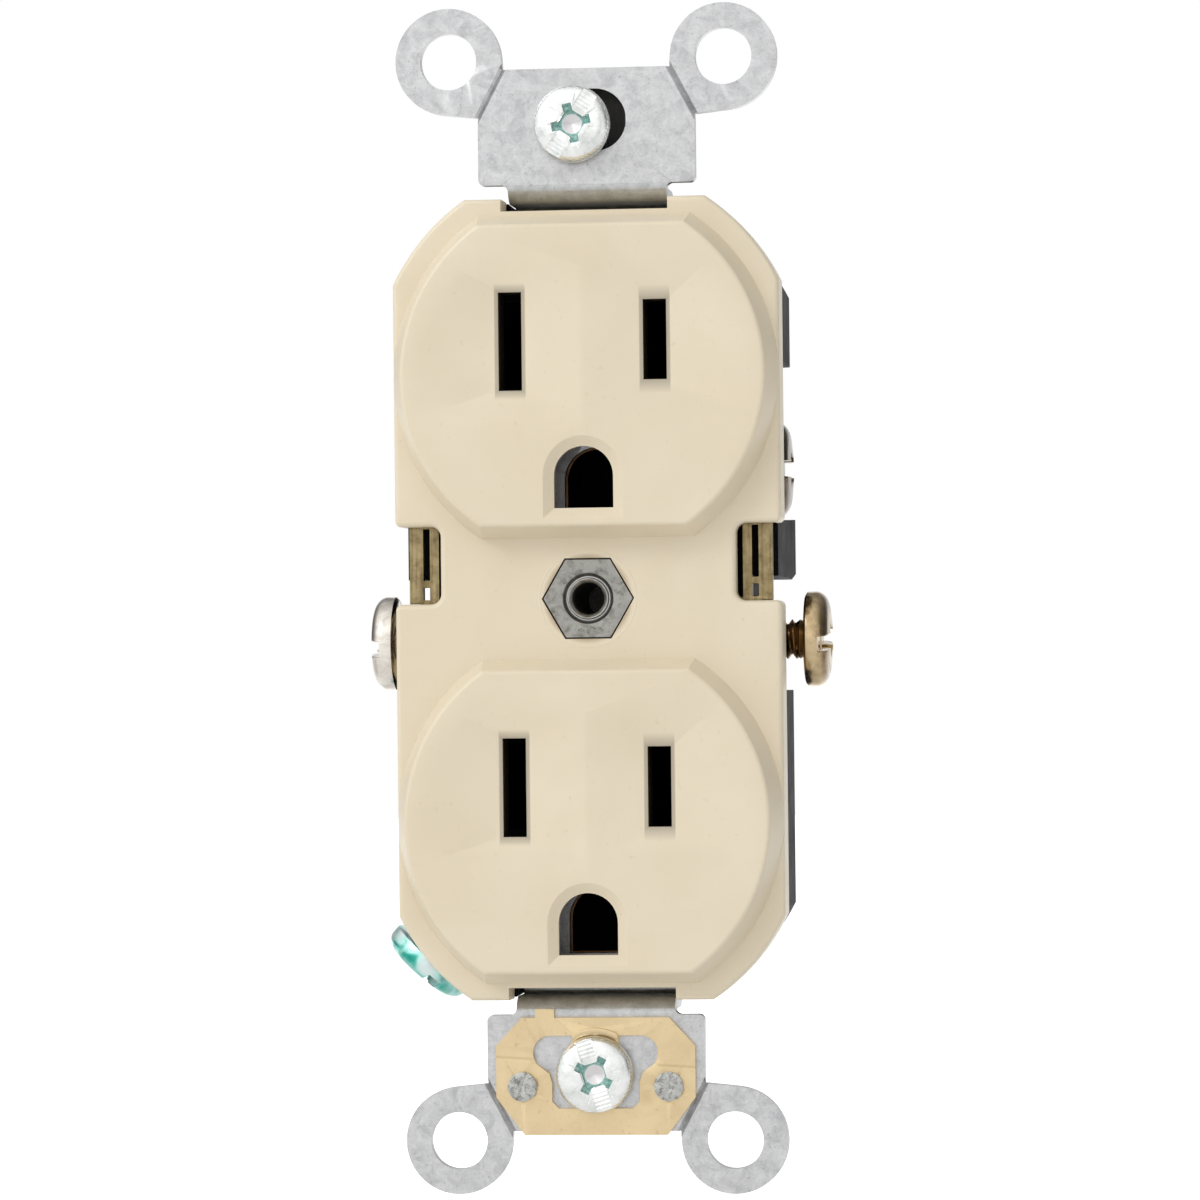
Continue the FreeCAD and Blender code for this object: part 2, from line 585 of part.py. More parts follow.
def ground_wing(grow, y0, y1):
    """The arm of the strap that reaches the earth tab."""
    inner = GROUND_OFFSET - STRAP_T / 2
    a = ground_point(GROUND_SIDE + 1.0 + grow, inner, y0)
    b = ground_point(GROUND_SIDE - GROUND_TAB_HALF - grow, inner, y0)
    foot = -(END_Z - BEND_INNER_R)
    root_x = -NECK_HALF_WIDTH + 0.5
    return polygon_block([vec(root_x, y0, foot + 0.4 - grow), vec(root_x, y0, a.z + grow), a, b], y1 - y0)


def mounting_strap():
    fillet = neck_fillet()
    top, bottom = (merged(neck(NECK_HALF_WIDTH), outer_plate(end), fillet, mirror_x(fillet))
                   for end in ("top", "bottom"))
    strap = merged(top, mirror_z(bottom), strap_middle(0, STRAP_INNER_Y, STRAP_BACK_Y),
                   ground_wing(0, STRAP_INNER_Y, STRAP_BACK_Y),
                   ground_block(GROUND_TAB_HALF, GROUND_OFFSET - STRAP_T, GROUND_OFFSET,
                                STRAP_INNER_Y, STRAP_INNER_Y + GROUND_TAB_DEPTH))
    strap = strap.cut(rod((0, STRAP_INNER_Y - 1, 0), (0, 1, 0), RIVET_R + 0.1, STRAP_T + 2))
    for centre_z in EARTH_Z:
        strap = strap.cut(earth_prism(0.3, centre_z, STRAP_INNER_Y - 1, STRAP_BACK_Y + 1))
        strap = strap.cut(rod((0, STRAP_INNER_Y - 1, centre_z + RIVET_RISE), (0, 1, 0), EARTH_RIVET_R, 4))
    axis = ground_point(GROUND_SIDE, GROUND_OFFSET - 2 * STRAP_T, GROUND_SCREW_Y)
    strap = strap.cut(rod(axis, GROUND_AXIS, THREAD_R + RUNNING, 4 * STRAP_T))
    for x in (-CLIP_RIVET_X, CLIP_RIVET_X):
        strap = strap.cut(rod((x, -STRAP_T - 1, -CLIP_RIVET_Z), (0, 1, 0), CLIP_RIVET_R * 0.6, STRAP_T + 2))
    return strap


# ---------------------------------------------------------------- earth contacts

EARTH_RIVET_R = 0.8
EARTH_RIVET_HEAD_R = 1.3
EARTH_RIVET_HEAD_T = 0.5
RIVET_RISE = 4.6         # earth contact's rivet above the earth hole's centre
EARTH_PLATE_T = 0.5
EARTH_GAP = 2.25         # half the gap between the leaves at their tightest
EARTH_LEAF_END_Y = 14.2


def earth_contact(centre_z):
    y0 = STRAP_BACK_Y
    y1 = y0 + EARTH_PLATE_T
    base = box(-3.4, 3.4, y0, y1, centre_z - 3.3, centre_z + RIVET_RISE + 1.6)
    base = base.cut(earth_prism(0.15, centre_z, y0 - 1, y1 + 1))
    base = base.cut(rod((0, y0 - 1, centre_z + RIVET_RISE), (0, 1, 0), EARTH_RIVET_R, 4))
    gap = EARTH_GAP + LEAF_T / 2
    line = [(3.12, y0 + 0.1), (3.12, y0 + 1.6), (gap, EARTH_LEAF_END_Y - 3), (gap + 0.6, EARTH_LEAF_END_Y)]
    leaf = profile_z(thick_line(line, LEAF_T), centre_z - 2.3, centre_z + 1.9)
    return merged(base, leaf, mirror_x(leaf))


def earth_rivets():
    """Two small rivets, one through each earth contact and the strap."""
    made = []
    for centre_z in EARTH_Z:
        z = centre_z + RIVET_RISE
        front = STRAP_INNER_Y - EARTH_RIVET_HEAD_T
        back = STRAP_BACK_Y + EARTH_PLATE_T
        shank = rod((0, front, z), (0, 1, 0), EARTH_RIVET_R, back - front)
        heads = [rod((0, y, z), (0, 1, 0), EARTH_RIVET_HEAD_R, EARTH_RIVET_HEAD_T) for y in (front, back)]
        made.append(merged(shank, *heads))
    return Part.makeCompound(made)


# ---------------------------------------------------------------- contact strips


def blade_contact(centre_z):
    """A folded pair of leaves that grips a plug blade from both sides."""
    mid = BLADE_SPACING / 2
    gap = PINCH_HALF_GAP + LEAF_T / 2
    line = [(BUS_INNER_X + 0.3, STRIP_FRONT_Y + STRIP_T / 2), (mid + 1.75, 0.9), (mid + gap, 5.6),
            (mid + 1.25, 11.0), (mid + 0.6, 12.0), (mid - 0.6, 12.0), (mid - 1.25, 11.0),
            (mid - gap, 5.6), (mid - 1.75, 0.9), (mid - 2.0, STRIP_FRONT_Y + 0.6)]
    return profile_z(thick_line(line, LEAF_T), centre_z - LEAF_HALF_WIDTH, centre_z + LEAF_HALF_WIDTH)


def contact_strip():
    """The line side's strip: two gripping contacts, two terminal plates and the break-off tab."""
    y0, y1 = STRIP_FRONT_Y, STRIP_FRONT_Y + STRIP_T
    plate_x = TERMINAL_X - STRIP_T
    upper, lower = TERMINALS["upper"], TERMINALS["lower"]
    up0, up1 = upper - TERMINAL_PLATE_HALF, WIRE_Z["upper"] + SPRING_HALF_WIDTH
    low0, low1 = WIRE_Z["lower"] - SPRING_HALF_WIDTH, lower + TERMINAL_PLATE_HALF
    pieces = [
        box(plate_x, TERMINAL_X, y0, TERMINAL_PLATE_BACK_Y, up0, up1),
        box(plate_x, TERMINAL_X, y0, TERMINAL_PLATE_BACK_Y, low0, low1),
        box(BUS_INNER_X, TERMINAL_X, y0, y1, up0, BLADE_Z[0] - LEAF_HALF_WIDTH + 1.0),
        box(BUS_INNER_X, TERMINAL_X, y0, y1, BLADE_Z[1] + LEAF_HALF_WIDTH - 1.0, low1),
        box(BUS_INNER_X, BUS_INNER_X + 3.2, y0, y1, up0, BLADE_Z[0] + LEAF_HALF_WIDTH),
        box(BUS_INNER_X, BUS_INNER_X + 3.2, y0, y1, BLADE_Z[1] - LEAF_HALF_WIDTH, low1),
    ]
    overlap = 0.3
    tab = box(TAB_OUTER_X - TAB_WIDTH, TAB_OUTER_X, y0, y1, low1 - overlap, up0 + overlap)
    for z0, z1 in (TAB_SLOT_Z, TAB_HOLE_Z):
        tab = tab.cut(box(TAB_OUTER_X - TAB_SLOT[1], TAB_OUTER_X - TAB_SLOT[0], y0 - 1, y1 + 1, z0, z1))
    strip = merged(tab, *pieces, *[blade_contact(z) for z in BLADE_Z])
    for z in TERMINALS.values():
        strip = strip.cut(rod((plate_x - 1, TERMINAL_SCREW_Y, z), (1, 0, 0), THREAD_R + RUNNING, 4))
    return strip


def wire_spring(z):
    """A rolled root and a flat leaf that slants towards the terminal plate and bites the wire."""
    (x0, y0), (x1, y1) = SPRING_ROOT, SPRING_TIP
    away = math.hypot(x1 - x0, y1 - y0)
    x2, y2 = x0 + (x1 - x0) * 0.45 / away, y0 + (y1 - y0) * 0.45 / away
    leaf = profile_z(thick_line([(x2, y2), (x1, y1)], SPRING_T), z - SPRING_HALF_WIDTH, z + SPRING_HALF_WIDTH)
    curl = rod((x0, y0, z - SPRING_HALF_WIDTH), (0, 0, 1), SPRING_CURL_R, 2 * SPRING_HALF_WIDTH)
    curl = curl.cut(rod((x0, y0, z - SPRING_HALF_WIDTH), (0, 0, 1), SPRING_CURL_R - SPRING_T, 10))
    return merged(curl, leaf)


# ---------------------------------------------------------------- moulded base


def barrier(low, high, side):
    """The rib that parts the two terminal bays of a side, rounded towards the rear."""
    slope = 0.5
    outline = [(PARTING_Y, low), (BACK_Y - 4, low), (BACK_Y, low + slope), (BACK_Y, high + slope),
               (TERMINAL_PLATE_BACK_Y, high), (PARTING_Y, high - slope)]
    rib = profile_x(outline, CORE_X - 0.5, BODY_HALF_WIDTH - BARRIER_INSET)
    return rib if side > 0 else mirror_x(rib)


def back_body():
    body = loft(body_wire(BASE_INSET, BASE_END_INSET, PARTING_Y),
                body_wire(BASE_INSET + BASE_DRAFT, BASE_END_INSET + BASE_DRAFT, BACK_Y))
    body = body.makeFillet(0.6, edges_at_y(body, BACK_Y))
    front, back = PARTING_Y - 1, BACK_Y + 1
    far = BODY_HALF_WIDTH + 1

    # open bays for the terminals and their wires, with a barrier between the two
    head_room = TERMINAL_HEAD_R + 0.3
    bays = [(TERMINALS["upper"] - head_room, WIRE_Z["upper"] + head_room - 0.2),
            (TERMINALS["lower"] - head_room, TERMINALS["lower"] + head_room + 1.05)]
    for s in (1, -1):
        x0, x1 = sorted((s * CORE_X, s * far))
        for z0, z1 in bays:
            body = body.cut(box(x0, x1, front, back, z0, z1))
        body = body.fuse(barrier(bays[1][1], bays[0][0], s))
        # slots for the parts of the strip that run inside the moulding
        x0, x1 = sorted((s * (CORE_X - 0.15), s * (TERMINAL_X + CLEARANCE)))
        for z0, z1 in ((TERMINALS["upper"] - TERMINAL_PLATE_HALF - CLEARANCE,
                        WIRE_Z["upper"] + SPRING_HALF_WIDTH + CLEARANCE),
                       (WIRE_Z["lower"] - SPRING_HALF_WIDTH - CLEARANCE,
                        TERMINALS["lower"] + TERMINAL_PLATE_HALF + CLEARANCE)):
            body = body.cut(box(x0, x1, front, TERMINAL_PLATE_BACK_Y + CLEARANCE, z0, z1))

    # pockets for the gripping contacts and blind holes for the terminal screws' ends
    mid = BLADE_SPACING / 2
    for s in (1, -1):
        for z in BLADE_Z:
            x0, x1 = sorted((s * (mid - 2.5), s * (mid + 2.9)))
            body = body.cut(box(x0, x1, front, 13.0, z - LEAF_HALF_WIDTH - 0.6, z + LEAF_HALF_WIDTH + 0.6))
        for z in TERMINALS.values():
            tip = TERMINAL_X - TERMINAL_THREAD - 1.0
            hole = rod((tip, TERMINAL_SCREW_Y, z), (1, 0, 0), THREAD_R + 0.35, CORE_X - tip + 1)
            body = body.cut(hole if s > 0 else mirror_x(hole))

    # the strap's bed, the earth contacts' pockets and the rivet's hole
    bed_y = STRAP_BACK_Y + 0.02
    body = body.cut(strap_middle(CLEARANCE, front, bed_y))
    for s in (1, -1):
        z0, z1 = sorted((s * (END_Z - 3), s * (BODY_HALF_HEIGHT + 1)))
        gap = NECK_HALF_WIDTH + CLEARANCE
        body = body.cut(box(-gap, gap, front, bed_y, z0, z1))
    body = body.cut(ground_wing(CLEARANCE, front, bed_y))
    for z in EARTH_Z:
        body = body.cut(box(-4.0, 4.0, front + 4, EARTH_LEAF_END_Y + 1, z - 3.6, z + RIVET_RISE + 1.9))
    body = body.cut(rod((0, front, 0), (0, 1, 0), RIVET_R + 0.1, back - front))

    # the corner cut back for the earth tab, its screw and its wire
    body = body.cut(ground_block(TERMINAL_HEAD_R + 0.5, GROUND_OFFSET - STRAP_T - 0.15, GROUND_OFFSET + 9,
                                 STRAP_INNER_Y - 0.3, back))
    tip = GROUND_OFFSET - TERMINAL_THREAD - 1.0
    start = ground_point(GROUND_SIDE, tip, GROUND_SCREW_Y)
    body = body.cut(rod(start, GROUND_AXIS, THREAD_R + 0.35, GROUND_OFFSET - tip))

    # push-in wire cells: a chamber, a round seat for the spring's root, the wire hole and a release slot
    root_x, root_y = SPRING_ROOT
    chamber_back = BACK_Y - WIRE_HOLE_DEPTH
    for s in (1, -1):
        for z in WIRE_Z.values():
            z0, z1 = z - SPRING_HALF_WIDTH - CLEARANCE, z + SPRING_HALF_WIDTH + CLEARANCE
            cell = box(root_x + 0.15, CORE_X, 1.5, chamber_back, z0, z1)
            cell = cell.fuse(rod((root_x, root_y, z0), (0, 0, 1), SPRING_CURL_R + 0.06, z1 - z0))
            sweep = [(root_x - 0.35, root_y - 0.2), (root_x - 1.2, SPRING_TIP_Y), (root_x - 1.2, 1.5),
                     (root_x + 0.5, 1.5), (root_x + 0.5, root_y)]
            cell = cell.fuse(profile_z(sweep, z0, z1))
            cell = cell.fuse(rod((WIRE_X, chamber_back - 1, z), (0, 1, 0), WIRE_HOLE_R, WIRE_HOLE_DEPTH + 2))
            slot_x = root_x - 0.75
            cell = cell.fuse(box(slot_x, slot_x + 0.8, root_y + 2, back, z - 1.3, z + 1.3))
            cell = cell.fuse(box(slot_x, root_x + 0.5, chamber_back - 1.4, chamber_back - 0.2, z - 1.3, z + 1.3))
            body = body.cut(cell if s > 0 else mirror_x(cell))
    return body.removeSplitter()


# ---------------------------------------------------------------- fasteners


def drive(radius, thickness, depth, turn):
    """The combination recess of a screw's head, for cutting: a straight slot and a cross."""
    slot = box(-radius - 1, radius + 1, -DRIVE_SLOT / 2, DRIVE_SLOT / 2, thickness - depth, thickness + 1)
    cross = []
    for a in (45, 135):
        arm = profile_x([(-0.5, thickness + 1), (0.5, thickness + 1), (0.38, thickness - 1.25),
                         (-0.38, thickness - 1.25)], -DRIVE_REACH, DRIVE_REACH)
        arm.rotate(vec(0, 0, 0), vec(0, 0, 1), a)
        cross.append(arm)
    pit = Part.makeCone(0.85, 1.2, 1.4, vec(0, 0, thickness - 1.3))
    tool = slot.fuse(cross + [pit])
    tool.rotate(vec(0, 0, 0), vec(0, 0, 1), turn)
    return tool


def head_points(radius, thickness):
    """Half section of a binding head: a short rim, a rounded shoulder and a slightly domed top."""
    rim = thickness * 0.42
    points = [(0, 0), (radius - 0.25, 0), (radius, 0.2), (radius, rim)]
    steps = 6
    shoulder = radius * 0.34
    for k in range(1, steps + 1):
        a = math.pi / 2 * k / steps
        points.append((radius - shoulder * (1 - math.cos(a)), rim + (thickness * 0.9 - rim) * math.sin(a)))
    points.append((radius * 0.3, thickness * 0.985))
    points.append((0, thickness))
    return points


def screw(radius, thickness, drive_depth, sections, place, axis, turn):
    """A screw whose head's underside is at place, with its head pointing along axis.

    sections lists (radius, length) from the head to the tip.
    """
    body = turned(head_points(radius, thickness), (0, 0, 0), (0, 0, 1))
    body = body.cut(drive(radius, thickness, drive_depth, turn))
    depth = 0.0
    for i, (r, length) in enumerate(sections):
        last = i == len(sections) - 1
        rod_length = length - (0.5 if last else 0)
        body = body.fuse(rod((0, 0, -depth), (0, 0, -1), r, rod_length))
        depth += rod_length
        if last:
            body = body.fuse(Part.makeCone(r, r - 0.5, 0.5, vec(0, 0, -depth), vec(0, 0, -1)))
    body = body.removeSplitter()
    body.Placement = FreeCAD.Placement(vec(*place), FreeCAD.Rotation(vec(0, 0, 1), vec(*axis)))
    return body


def terminal_screw(side, z, out, turn):
    place = (side * (TERMINAL_X + 0.02 + out), TERMINAL_SCREW_Y, z)
    return screw(TERMINAL_HEAD_R, TERMINAL_HEAD_T, TERMINAL_DRIVE_DEPTH, [(THREAD_R, TERMINAL_THREAD)],
                 place, (side, 0, 0), turn)


def ground_screw():
    place = ground_point(GROUND_SIDE, GROUND_OFFSET + 0.02 + GROUND_BACKED_OUT, GROUND_SCREW_Y)
    return screw(TERMINAL_HEAD_R, TERMINAL_HEAD_T, TERMINAL_DRIVE_DEPTH, [(THREAD_R, TERMINAL_THREAD)],
                 place, GROUND_AXIS, GROUND_SCREW_TURN)


def box_screw(x, z, stands, turn):
    sections = [(BOX_SCREW_NECK_R, BOX_SCREW_NECK), (THREAD_R, BOX_SCREW_LENGTH - BOX_SCREW_NECK)]
    place = (x, -STRAP_T - 0.02 - stands, z)
    return screw(BOX_HEAD_R, BOX_HEAD_T, DRIVE_DEPTH, sections, place, (0, -1, 0), turn)


def center_rivet():
    """Hollow rivet: a hexagonal head tapped for the plate screw, and a tail rolled over behind the base."""
    front = FLANGE_Y + HEX_SUNK
    seat = front + HEX_DEPTH
    flare_y = BACK_Y + 0.02
    solid = hexagon(HEX_HALF_FLATS, front, seat)
    solid = merged(solid, rod((0, seat - 0.5, 0), (0, 1, 0), RIVET_R, flare_y + 0.3 - seat + 0.5),
                   rod((0, flare_y, 0), (0, 1, 0), RIVET_FLARE_R, RIVET_FLARE_T))
    solid = solid.cut(rod((0, front - 1, 0), (0, 1, 0), PLATE_SCREW_R, PLATE_THREAD_BACK_Y - front + 1))
    groove = turned([(1.72, -0.1), (1.86, 0.32), (2.06, 0.32), (2.3, -0.1)], (0, front, 0), (0, 1, 0))
    mouth = Part.makeCone(PLATE_SCREW_R + 0.28, PLATE_SCREW_R, 0.3, vec(0, front, 0), vec(0, 1, 0))
    tail = rod((0, flare_y + RIVET_FLARE_T - TAIL_BORE_DEPTH, 0), (0, 1, 0), TAIL_BORE_R, TAIL_BORE_DEPTH + 1)
    roll = Part.makeCone(PLATE_SCREW_R + 0.3, 2.6, 1.2, vec(0, flare_y + RIVET_FLARE_T - 1.2, 0), vec(0, 1, 0))
    return solid.cut(groove).cut(mouth).cut(tail).cut(roll)


def screw_retainer():
    """The fibre washer behind the strap that keeps the top screw from dropping out."""
    half_x, half_z = 4.4, 3.4
    washer = box(TOP_SCREW_X - half_x, TOP_SCREW_X + half_x, 0.05, 0.05 + RETAINER_T,
                 BOX_SCREW_Z - half_z, BOX_SCREW_Z + half_z)
    washer = washer.makeFillet(1.2, edges_along_y(washer, lambda x, z: True))
    return washer.cut(rod((TOP_SCREW_X, -1, BOX_SCREW_Z), (0, 1, 0), BOX_SCREW_NECK_R + RUNNING, 4))


def grounding_clip():
    """Sheet brass clip that keeps the bottom screw and earths it to the strap."""
    y0, y1 = -STRAP_T - CLIP_T, -STRAP_T
    right = [(6.5, -CLIP_TOP_Z), (CLIP_HALF_WIDTH, -CLIP_TOP_Z - 2.5),
             (CLIP_HALF_WIDTH, -CLIP_FOOT_Z + 3.3), (6.3, -CLIP_FOOT_Z)]
    sheet = plate(right + [(-x, z) for x, z in right[::-1]], y0, y1)
    lobe_x, lobe_z, lobe_r = 4.0, -BOX_SCREW_Z + 1.87, 1.5
    well = 3.85
    foot = -BOX_SCREW_Z - 3.0
    window = [(lobe_x + lobe_r, lobe_z), (lobe_x + lobe_r - 0.25, lobe_z - 0.9), (well + 0.25, lobe_z - 1.8),
              (well, lobe_z - 2.6), (well, foot + 0.6), (well - 0.6, foot)]
    cut = plate(window + [(-x, z) for x, z in window[::-1]], y0 - 1, y1 + 1)
    for s in (1, -1):
        cut = cut.fuse(rod((s * lobe_x, y0 - 1, lobe_z), (0, 1, 0), lobe_r, 3))
        x0, x1 = sorted((s * 2.05, s * lobe_x))
        cut = cut.fuse(box(x0, x1, y0 - 1, y1 + 1, lobe_z - 1, lobe_z + lobe_r))
    tongue = box(-2.05, 2.05, y0 - 2, y1 + 2, -BOX_SCREW_Z + THREAD_R - 0.2, -CLIP_TOP_Z)
    hook = box(-5.3, -3.6, y0, y1, -CLIP_TOP_Z - 0.1, -CLIP_TOP_Z + 0.75)
    shank = rod((0, y0 - 3, -BOX_SCREW_Z), (0, 1, 0), THREAD_R + 0.15, 8)
    sheet = sheet.cut(cut.cut(tongue.cut(shank)))
    # a raised bead arches over the screw's head
    bead_in, bead_out = BOX_HEAD_R + 0.25, BOX_HEAD_R + 0.65
    bead = rod((0, y0 - 0.4, -BOX_SCREW_Z), (0, 1, 0), bead_out, 0.45)
    bead = bead.cut(rod((0, y0 - 2, -BOX_SCREW_Z), (0, 1, 0), bead_in, 4))
    bead = bead.common(box(-2.0, 2.0, y0 - 1, y1, -BOX_SCREW_Z + 1, -CLIP_TOP_Z))
    for x in (-CLIP_RIVET_X, CLIP_RIVET_X):
        sheet = sheet.cut(rod((x, y0 - 1, -CLIP_RIVET_Z), (0, 1, 0), CLIP_RIVET_R * 0.6, 3))
    return merged(sheet, bead, hook)


def clip_rivet(x):
    """A stake that holds the clip: shank through the strap, flat head in front with a cross struck in."""
    head_y = -STRAP_T - CLIP_T - 0.35
    stake = rod((x, head_y, -CLIP_RIVET_Z), (0, 1, 0), CLIP_RIVET_R, 0.35)
    stake = stake.fuse(rod((x, head_y, -CLIP_RIVET_Z), (0, 1, 0), CLIP_RIVET_R * 0.6, 0.35 + CLIP_T + STRAP_T))
    for a in (20, 110):
        mark = box(-2, 2, head_y - 0.1, head_y + 0.14, -0.11, 0.11)
        mark.rotate(vec(0, 0, 0), vec(0, 1, 0), a)
        mark.translate(vec(x, 0, -CLIP_RIVET_Z))
        stake = stake.cut(mark)
    return stake.removeSplitter()


def build():
    line_strip = contact_strip()
    parts = {
        "face_cover": face_cover(),
        "back_body": back_body(),
        "mounting_strap": mounting_strap(),
        "line_contact_strip": line_strip,
        "neutral_contact_strip": mirror_x(line_strip),
        "upper_earth_contact": earth_contact(EARTH_Z[0]),
        "lower_earth_contact": earth_contact(EARTH_Z[1]),
        "earth_contact_rivets": earth_rivets(),
        "center_rivet": center_rivet(),
        "ground_screw": ground_screw(),
        "mounting_screw_top": box_screw(TOP_SCREW_X, BOX_SCREW_Z, TOP_SCREW_STANDS, 57),
        "mounting_screw_bottom": box_screw(0, -BOX_SCREW_Z, CLIP_T + 0.02, -73),
        "screw_retainer": screw_retainer(),
        "grounding_clip": grounding_clip(),
        "clip_rivet_left": clip_rivet(-CLIP_RIVET_X),
        "clip_rivet_right": clip_rivet(CLIP_RIVET_X),
    }
    for side, name in ((1, "line"), (-1, "neutral")):
        for level, z in TERMINALS.items():
            out = BACKED_OUT[name] if level == "lower" else 0.0
            parts[f"{name}_screw_{level}"] = terminal_screw(side, z, out, TERMINAL_TURN[level])
        for level, z in WIRE_Z.items():
            spring = wire_spring(z)
            parts[f"{name}_wire_spring_{level}"] = spring if side > 0 else mirror_x(spring)
    return parts


def main():
    os.makedirs("parts", exist_ok=True)
    for name, shape in build().items():
        shape.exportStep(f"parts/{name}.step")
        print(name, len(shape.Solids), round(shape.Volume, 2), shape.isValid())


main()
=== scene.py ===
import json
import math

import bmesh
import bpy
from mathutils import Matrix, Vector


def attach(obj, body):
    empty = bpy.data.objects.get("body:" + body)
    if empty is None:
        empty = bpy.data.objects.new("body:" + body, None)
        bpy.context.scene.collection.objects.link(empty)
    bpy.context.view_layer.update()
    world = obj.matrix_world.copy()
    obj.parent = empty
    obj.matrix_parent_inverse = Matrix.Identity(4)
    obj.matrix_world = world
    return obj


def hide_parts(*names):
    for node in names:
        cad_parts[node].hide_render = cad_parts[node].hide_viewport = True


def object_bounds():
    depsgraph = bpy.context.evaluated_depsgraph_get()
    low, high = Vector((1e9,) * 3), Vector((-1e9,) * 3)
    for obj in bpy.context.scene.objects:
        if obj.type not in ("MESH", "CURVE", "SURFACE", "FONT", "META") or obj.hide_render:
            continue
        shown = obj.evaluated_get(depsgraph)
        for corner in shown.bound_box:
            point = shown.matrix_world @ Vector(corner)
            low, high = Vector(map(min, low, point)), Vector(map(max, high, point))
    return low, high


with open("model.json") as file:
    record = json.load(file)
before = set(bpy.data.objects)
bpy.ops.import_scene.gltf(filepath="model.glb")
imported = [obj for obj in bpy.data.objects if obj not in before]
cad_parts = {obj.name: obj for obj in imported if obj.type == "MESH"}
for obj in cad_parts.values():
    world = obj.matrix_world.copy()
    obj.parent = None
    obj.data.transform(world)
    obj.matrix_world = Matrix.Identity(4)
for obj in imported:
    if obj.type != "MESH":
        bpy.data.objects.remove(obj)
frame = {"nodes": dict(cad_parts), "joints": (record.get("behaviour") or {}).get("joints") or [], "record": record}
NODES = frame["nodes"]
RECORD = frame["record"]
SLOT_OF = {part["node"]: part["material_slot"] for part in RECORD["subparts"]}
BODY_OF = {node: body for body, nodes in RECORD["behaviour"]["bodies"].items() for node in nodes}
cad_low, cad_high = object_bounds()
MM = 0.001
WHITE = (1, 1, 1, 1)
SCENE = bpy.context.scene
SCENE.view_settings.view_transform = "Standard"

# ------------------------------------------------------------------ material builder


def srgb(r, g, b):
    """A linear colour from 8-bit display values."""
    def linear(v):
        v /= 255
        return v / 12.92 if v <= 0.04045 else ((v + 0.055) / 1.055) ** 2.4
    return (linear(r), linear(g), linear(b), 1.0)


def grey(value):
    return (value, value, value, 1.0)


